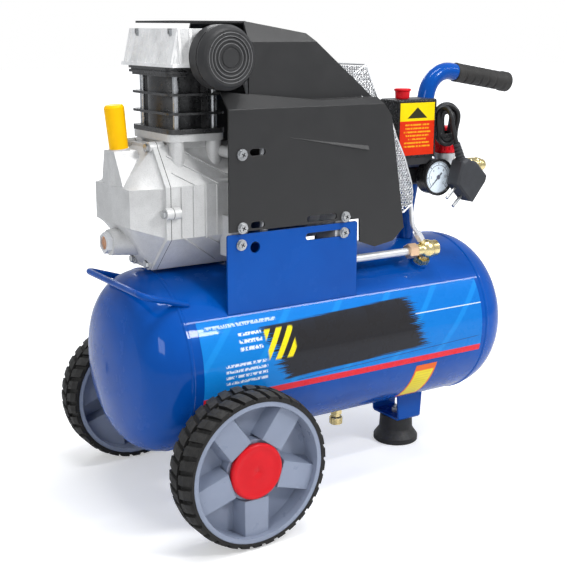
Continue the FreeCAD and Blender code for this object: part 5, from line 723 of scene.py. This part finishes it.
def tyre(side):
    """One tyre: two rows of blocks, half a pitch apart, on a crowned carcass."""
    tree = lug_tree()
    pitch = math.tau * WHEEL_R / TREAD_PITCHES
    work = bmesh.new()
    for row in (-1, 1):
        sizes = {"Pitches": TREAD_PITCHES, "Radius": WHEEL_R - 0.0036, "Offset": row * 0.0134,
                 "Phase": 0.25 * (row + 1) / TREAD_PITCHES, "Length": pitch * LUG_SHARE,
                 "Width": LUG_WIDTH, "Height": LUG_HEIGHT, "Skew": row * LUG_SKEW, "Rubber": TYRE_RUBBER}
        work.from_mesh(grown("lugs", tree, sizes))
    for vertex in work.verts:
        reach = math.hypot(vertex.co.x, vertex.co.z)
        if reach > WHEEL_R - 0.0030:
            shoulder = max(0.0, abs(vertex.co.y) - 0.0190) * 0.45
            scale = (WHEEL_R - 0.0001 - shoulder) / reach
            vertex.co.x *= scale
            vertex.co.z *= scale
    add_faces(work, *carcass())
    bmesh.ops.remove_doubles(work, verts=work.verts, dist=0.00001)
    bmesh.ops.recalc_face_normals(work, faces=work.faces)
    middle = side * (WHEEL_OUT - TYRE_W / 2)
    bmesh.ops.translate(work, verts=work.verts, vec=Vector((AXLE_X, middle, WHEEL_R)))
    name = "tread_tyre_left" if side < 0 else "tread_tyre_right"
    obj = whole_piece(name, work, TYRE_RUBBER, "wheel_left" if side < 0 else "wheel_right")
    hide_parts("tyre_front" if side < 0 else "tyre_rear")
    return obj


# ---------------------------------------------------------------- turned details
def turned(name, section, centre, material, body, steps=64):
    """A closed ring or disc: section is a loop of (along Y, radius), centre its (x, z), in metres."""
    vertices = []
    faces = []
    n = len(section)
    for i in range(steps):
        a = math.tau * i / steps
        for y, r in section:
            vertices.append((centre[0] + r * math.sin(a), y, centre[1] + r * math.cos(a)))
        faces += ring_faces(i * n, (i + 1) % steps * n, n)
    obj = new_piece(name, vertices, faces, material, body=body, smooth=True)
    work = bmesh.new()
    work.from_mesh(obj.data)
    bmesh.ops.remove_doubles(work, verts=work.verts, dist=0.00002)
    bmesh.ops.recalc_face_normals(work, faces=work.faces)
    work.to_mesh(obj.data)
    work.free()
    return obj


CAP_R = 0.0349
CAP_FOOT_Y = 0.1785
CAP_TOP_Y = 0.1872


def dome_cap(side):
    """Smooth push-on cap with a rounded rim and a shallow dished face."""
    top = CAP_TOP_Y
    profile = [(CAP_FOOT_Y, 0.030), (CAP_FOOT_Y, CAP_R - 0.0010), (top - 0.0040, CAP_R),
               (top - 0.0022, CAP_R - 0.0004), (top - 0.0008, CAP_R - 0.0016), (top - 0.0001, CAP_R - 0.0034),
               (top - 0.0003, CAP_R - 0.0056), (top - 0.0012, CAP_R - 0.0078), (top - 0.0011, 0.022),
               (top - 0.0006, 0.010), (top - 0.0005, 0.00002), (CAP_FOOT_Y, 0.00002)]
    name = "dome_cap_left" if side < 0 else "dome_cap_right"
    cap = turned(name, [(side * y, r) for y, r in profile], (AXLE_X, WHEEL_R), CAP_RED,
                 "wheel_left" if side < 0 else "wheel_right")
    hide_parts("hub_cap_front" if side < 0 else "hub_cap_rear")
    return cap


def filter_rings():
    """Raised circular ridges on the filter's lid, coloured lighter than the lid as a painted highlight."""
    low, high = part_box("air_filter")
    middle = ((low[0] + high[0]) / 2, (low[2] + high[2]) / 2)
    face = low[1]
    for number, radius in enumerate((0.0285, 0.0245, 0.0205, 0.0160)):
        section = [(face + 0.0010, radius - 0.0005), (face - 0.0003, radius - 0.0004),
                   (face - 0.0004, radius), (face - 0.0003, radius + 0.0004),
                   (face + 0.0010, radius + 0.0005)]
        turned("filter_ring_%d" % number, section, middle, RIDGE_HIGHLIGHT_GREY, "frame")


def flare_nut():
    """Copper-toned hexagon nut on the delivery pipe, where it meets the check valve."""
    start, end, chamfer = 301.4, 316.4, 0.9
    y, z = -84.03, 309.94
    corner = 10.4
    vertices = []
    for x, r in ((start, corner - 1), (start + chamfer, corner), (end - chamfer, corner), (end, corner - 1)):
        for k in range(6):
            a = math.radians(60 * k + 30)
            vertices.append(at(x, y + r * math.cos(a), z + r * math.sin(a)))
    faces = [tuple(range(5, -1, -1)), tuple(range(18, 24))]
    for ring in range(3):
        faces += ring_faces(ring * 6, ring * 6 + 6, 6)
    return new_piece("flare_nut", vertices, faces, COPPER_NUT)


# Across, up and away from the centre plane.
BOLT_SPOTS = [(34.0, 349.0, 98.1), (187.0, 349.0, 98.1), (34.0, 370.0, 101.0), (187.0, 370.0, 101.0),
              (34.0, 458.0, 101.0)]


def recess_shade_tree():
    """Dark crosses, one on each bolt head given to the tree, turned by half a radian: painted shade in place
    of cross recesses.
    """
    tree, given = tree_with("bolt_recess", ("Span", "Slot", "Depth"), [("Shade", "Material")])
    span, slot, depth = (given[label] for label in ("Span", "Slot", "Depth"))
    cross = node(tree, "GeometryNodeJoinGeometry")
    for size in (triple(tree, span, depth, slot), triple(tree, slot, depth, span)):
        tree.links.new(node(tree, "GeometryNodeMeshCube", {"Size": size}).outputs[0], cross.inputs[0])
    return grow_on_points(tree, given["Geometry"], cross.outputs[0], given["Shade"], swing=(0.0, 0.5, 0.0))


# Flat dark crosses laid on the bolt heads: painted shade where cross recesses would be, with no hollow cut.
def bolt_recesses():
    spots = [at(x, side * y, z) for x, z, y in BOLT_SPOTS for side in (-1, 1)]
    sizes = {"Span": 0.0058, "Slot": 0.0012, "Depth": 0.0003, "Shade": GASKET_AND_RECESS_SHADE}
    return link_piece("bolt_recesses", grown("bolt_recesses", recess_shade_tree(), sizes, spots))


# ---------------------------------------------------------------- fan guard
GUARD_PROFILE = [(235, 560), (254, 519), (276, 467), (291, 439), (304, 405), (307, 388), (305, 374),
                 (292, 365)]
GUARD_INNER = [(274, 365), (214, 548)]
GUARD_PITCH = (4.6, 6.6)
GUARD_BAR = 1.15
FLATTEN = 0.7             # a bar's thickness through the sheet over its width


def guard_half(z):
    """Half width of the guard at a height: it narrows over the shoulder."""
    share = min(1.0, max(0.0, (z - 487.0) / 20.0))
    return 87.4 - 16.0 * share


def lattice_tree():
    """Diamond meshes of square bar, one on each point given to the tree."""
    tree, given = tree_with("guard_lattice", ("Cell Width", "Cell Height", "Bar"), [("Metal", "Material")])
    loop = node(tree, "GeometryNodeMeshCircle", {"Vertices": 4, "Radius": 0.5}).outputs[0]
    size = triple(tree, given["Cell Width"], given["Cell Height"], 1.0)
    loop = node(tree, "GeometryNodeTransform", {"Geometry": loop, "Scale": size}).outputs[0]
    line = node(tree, "GeometryNodeMeshToCurve", {"Mesh": loop}).outputs[0]
    thick = given["Bar"]
    bar = node(tree, "GeometryNodeCurvePrimitiveQuadrilateral", {"Width": thick, "Height": thick}).outputs[0]
    cell = node(tree, "GeometryNodeCurveToMesh", {"Curve": line, "Profile Curve": bar}).outputs[0]
    return grow_on_points(tree, given["Geometry"], cell, given["Metal"])


def within_outline(x, z, outline):
    hit = False
    for (x0, z0), (x1, z1) in zip(outline, outline[1:] + outline[:1]):
        if (z0 > z) != (z1 > z) and x < (x1 - x0) * (z - z0) / (z1 - z0) + x0:
            hit = not hit
    return hit


def along_profile(distance):
    """Place on the guard's outer line at a distance down it, with its outward direction."""
    left = distance
    for (x0, z0), (x1, z1) in zip(GUARD_PROFILE, GUARD_PROFILE[1:]):
        length = math.hypot(x1 - x0, z1 - z0)
        if left <= length or (x1, z1) == GUARD_PROFILE[-1]:
            t = left / length
            return x0 + (x1 - x0) * t, z0 + (z1 - z0) * t, -(z1 - z0) / length, (x1 - x0) / length
        left -= length


def bead(path, sides=6):
    """A closed round wire along a list of points, in metres."""
    vertices = []
    faces = []
    around = [math.tau * k / sides for k in range(sides)]
    rim = [GUARD_BAR * MM * Vector((math.cos(a), math.sin(a), 0)) for a in around]
    for i, point in enumerate(path):
        turn = (path[min(i + 1, len(path) - 1)] - path[max(i - 1, 0)]).to_track_quat("Z", "Y")
        vertices += [point + turn @ spot for spot in rim]
    for i in range(len(path) - 1):
        faces += ring_faces(i * sides, (i + 1) * sides, sides)
    faces.append(tuple(range(sides - 1, -1, -1)))
    faces.append(tuple((len(path) - 1) * sides + k for k in range(sides)))
    return vertices, faces


def cheek_points():
    """Centres of the meshes that lie wholly within the guard's side outline."""
    wide, tall = GUARD_PITCH
    outline = GUARD_PROFILE + GUARD_INNER
    points = []
    for i in range(32):
        for j in range(34):
            x = 206 + i * wide
            z = 362 + j * tall
            corners = [(x - wide / 2, z), (x + wide / 2, z), (x, z - tall / 2), (x, z + tall / 2)]
            if all(within_outline(cx, cz, outline) for cx, cz in corners):
                points.append((x * MM, z * MM, 0))
    return points


def fan_mesh():
    """Expanded steel guard behind the fan: two cheeks and a curved back with real openings."""
    tree = lattice_tree()
    wide, tall = GUARD_PITCH
    columns = 18
    total = sum(math.hypot(b[0] - a[0], b[1] - a[1]) for a, b in zip(GUARD_PROFILE, GUARD_PROFILE[1:]))
    back = [(i * wide * MM, j * tall * MM, 0) for i in range(-columns, columns + 1)
            for j in range(1, int(total / tall))]
    sizes = {"Cell Width": wide * MM, "Cell Height": tall * MM, "Bar": GUARD_BAR * MM, "Metal": GUARD_STEEL}
    work = bmesh.new()
    for side in (-1, 1):
        sheet = grown("cheek", tree, sizes, cheek_points())
        for vertex in sheet.vertices:
            x, z, w = vertex.co / MM
            vertex.co = at(x, side * (guard_half(z) - 0.2) + w * FLATTEN, z)
        work.from_mesh(sheet)
    sheet = grown("back", tree, sizes, back)
    for vertex in sheet.vertices:
        y, down, w = vertex.co / MM
        x, z, nx, nz = along_profile(max(0.0, down))
        w = w * FLATTEN - 0.9
        narrowed = y * (guard_half(z) - 1.2) / ((columns + 0.5) * wide)
        vertex.co = at(x + nx * w, narrowed, z + nz * w)
    work.from_mesh(sheet)
    low, high = 86.8, 70.8
    for side in (-1, 1):
        edge = []
        for k in range(41):
            x, z, nx, nz = along_profile(total * k / 40)
            edge.append(at(x - nx * 1.2, side * (guard_half(z) - 0.6), z - nz * 1.2))
        add_faces(work, *bead(edge))
        inner = ((235, high, 559), (213.5, high, 547), (240, low, 478), (274, low, 365.6), (292, low, 365.6))
        add_faces(work, *bead([at(x, side * y, z) for x, y, z in inner]))
    for x, z, half in ((234.2, 558.8, high), (291.5, 366.4, low)):
        add_faces(work, *bead([at(x, -half, z), at(x, half, z)]))
    bmesh.ops.recalc_face_normals(work, faces=work.faces)
    obj = whole_piece("fan_mesh", work, GUARD_STEEL)
    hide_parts("fan_guard")
    return obj


# ---------------------------------------------------------------- mains lead
CORD_D = 0.0065
HANK_X = 385.5
HANK_Y = 59.0
HANK_TURN = math.radians(33.0)
HANK_LOW = 446.0
HANK_HIGH = 504.0


def hank_at(u, w, z):
    """A place in the hank: u across it, w away from the front, z up, all in millimetres."""
    return (HANK_X + u * math.cos(HANK_TURN) + w * math.sin(HANK_TURN),
            -HANK_Y - u * math.sin(HANK_TURN) + w * math.cos(HANK_TURN), z)


def gather(z):
    """How far the turns are drawn together by the tie below the middle."""
    return 1.0 - 0.24 * math.exp(-((z - 463.0) / 9.0) ** 2) + 0.05 * max(0.0, (z - 480.0) / 24.0)


def lead_route():
    """Control points from the gland, round the hank and out to the plug's strain relief."""
    route = [(369, -44, 478), (373, -44, 478), hank_at(-15.2, 8.0, 480.5)]
    lanes = [(13.6, 9.6), (7.1, 9.4), (7.4, 3.2), (13.9, 3.4), (13.2, -3.0), (7.0, -3.4), (7.6, -9.6),
             (13.7, -9.7)]
    swell = [0.6, -0.8, 1.0, 2.0, -1.4, 0.8, -0.6, 1.2]
    for index, (a, w) in enumerate(lanes):
        more, next_w = lanes[min(index + 1, len(lanes) - 1)]
        high = HANK_HIGH - 3.5 - (13.7 - a) + swell[index]
        low = HANK_LOW + 3.4 + (13.7 - a)
        b = 0.414 * a
        turn = [(-a, w, high - a + b), (-b, w, high), (b, w, high), (a, w, high - a + b),
                (a + 0.8, w, 483.0), (a - 0.2, w, 469.0), (a, w, low + a - b), (b, w, low), (-b, w, low)]
        drift = [(-a, w, low + a - b), ((-2 * a - more) / 3, w + (next_w - w) * 0.3, 467.0),
                 ((-a - 2 * more) / 3, w + (next_w - w) * 0.7, 478.0)]
        for u, depth, z in turn + drift:
            route.append(hank_at(u * gather(z), depth, z))
    route += [hank_at(-13.6, -9.9, 486), hank_at(-13.45, -10.5, 491.6), hank_at(-9.05, -17.1, 499.5),
              hank_at(-2.9, -26.4, 499.5), hank_at(1.5, -33, 491.6), (372.0, -88, 471.1), (379.3, -88, 452.5)]
    return [at(*p) for p in route]


def hank_tie():
    """Twist tie: a narrow flat band wrapped about the strands."""
    steps = 40
    vertices = []
    faces = []
    for i in range(steps):
        a = math.tau * i / steps
        u = 13.9 * math.copysign(abs(math.cos(a)) ** 0.6, math.cos(a))
        w = 13.6 * math.copysign(abs(math.sin(a)) ** 0.6, math.sin(a))
        drop = 0.8 * math.sin(a)
        for scale, z in ((1.0, 460.6), (1.0, 465.0), (1.09, 465.0), (1.09, 460.6)):
            vertices.append(at(*hank_at(u * scale, w * scale, z + drop)))
        faces += ring_faces(4 * i, 4 * ((i + 1) % steps), 4)
    return new_piece("hank_tie", vertices, faces, SWITCH_BLACK)


def mains_lead():
    curve = bpy.data.curves.new("mains_lead", "CURVE")
    curve.dimensions = "3D"
    curve.bevel_depth = CORD_D / 2
    curve.bevel_resolution = 5
    curve.resolution_u = 6
    points = lead_route()
    spline = curve.splines.new("NURBS")
    spline.points.add(len(points) - 1)
    for point, where in zip(spline.points, points):
        point.co = (*where, 1.0)
    spline.order_u = 3
    spline.use_endpoint_u = True
    curve.use_fill_caps = True
    curve.materials.append(LEAD_BLACK)
    obj = link_piece("mains_lead", curve)
    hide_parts("power_cord", "cord_hank")
    hank_tie()
    return obj


# ---------------------------------------------------------------- studio
CAMERA_PLACE = (-611.695, -1177.471, 603.247)   # millimetres, as for at()
CAMERA_LENS = 67.55
CAMERA_HEADING = -33.114   # degrees
CAMERA_FALL = 13.469
CAMERA_ROLL = 0.00431      # radians
FLOOR_REACH = 14.0
# Name, place, aim, size and power of each lamp, in metres and watts.
LAMPS = (("key", (0.9, -2.1, 1.9), (0, 0, 0.3), (0.4, 0.4), 30),
         ("fill", (-1.9, -1.3, 1.1), (0, 0, 0.3), (0.6, 0.6), 9),
         ("top", (-0.1, -0.3, 2.3), (0, 0, 0.3), (1.4, 0.25), 26),
         ("strip", (0.95, -0.9, 1.38), (0.95, 0, 0.193), (1.7, 0.05), 8),
         ("rim", (0.6, 2.0, 1.5), (0, 0, 0.3), (1.2, 0.4), 10))


def set_camera(scene):
    camera = bpy.data.objects.new("camera", bpy.data.cameras.new("camera"))
    camera.data.sensor_width = 36.0
    camera.data.lens = CAMERA_LENS
    camera.data.clip_start = 0.05
    camera.data.clip_end = 60.0
    turn = (Matrix.Rotation(math.radians(CAMERA_HEADING), 4, "Z")
            @ Matrix.Rotation(math.radians(90 - CAMERA_FALL), 4, "X")
            @ Matrix.Rotation(CAMERA_ROLL, 4, "Z"))
    camera.matrix_world = Matrix.Translation(at(*CAMERA_PLACE)) @ turn
    scene.collection.objects.link(camera)
    scene.camera = camera


def set_world(scene):
    """White behind the object, softer for what lights it or is mirrored in it."""
    world = bpy.data.worlds.new("studio")
    scene.world = world
    world.use_nodes = True
    tree = world.node_tree
    back = tree.nodes["Background"]
    path = put(tree, "LightPath").outputs
    seen = calc(tree, "MAXIMUM", path["Is Camera Ray"], path["Is Transmission Ray"])
    seen = calc(tree, "MAXIMUM", seen, times(tree, path["Is Glossy Ray"], 0.1))
    tree.links.new(blend_colour(tree, seen, (0.50, 0.52, 0.55, 1), (1, 1, 1, 1)), back.inputs["Color"])
    back.inputs["Strength"].default_value = 1.0


def set_floor(scene):
    """Matt white floor that fades to pure white away from the object, for the camera alone."""
    reach = FLOOR_REACH
    mesh = bpy.data.meshes.new("floor")
    mesh.from_pydata([(-reach, -reach, 0), (reach, -reach, 0), (reach, reach, 0), (-reach, reach, 0)],
                     [], [(0, 1, 2, 3)])
    floor = bpy.data.objects.new("floor", mesh)
    scene.collection.objects.link(floor)
    material, tree, shader = start_finish("floor_white", specular=0.1)
    shader.inputs["Base Color"].default_value = (0.82, 0.82, 0.82, 1)
    shader.inputs["Roughness"].default_value = 0.9
    shader.inputs["Emission Color"].default_value = (1, 1, 1, 1)
    here = put(tree, "TexCoord").outputs["Object"]
    away = put(tree, "VectorMath", {0: here}, operation="LENGTH").outputs["Value"]
    direct = put(tree, "LightPath").outputs["Is Camera Ray"]
    glow = times(tree, direct, spread(tree, away, 0.38, 1.0, 0.75, 2.6))
    tree.links.new(glow, shader.inputs["Emission Strength"])
    mesh.materials.append(material)


def studio():
    scene = bpy.context.scene
    scene.view_settings.view_transform = "Standard"
    set_camera(scene)
    set_world(scene)
    set_floor(scene)
    for name, where, target, size, power in LAMPS:
        light = bpy.data.lights.new(name, "AREA")
        light.shape = "RECTANGLE"
        light.size, light.size_y = size
        light.energy = power
        obj = bpy.data.objects.new(name, light)
        obj.location = where
        obj.rotation_euler = (Vector(target) - Vector(where)).to_track_quat("-Z", "Y").to_euler()
        scene.collection.objects.link(obj)


studio()
dress_frame()
mains_lead()
for side in (-1, 1):
    tyre(side)
    dome_cap(side)
filter_rings()
fan_mesh()
flare_nut()
bolt_recesses()
dial_plate()
pointer()
tank_decal()
tank_notice()
switch_notice()
dial_marks()
dial_numbers()
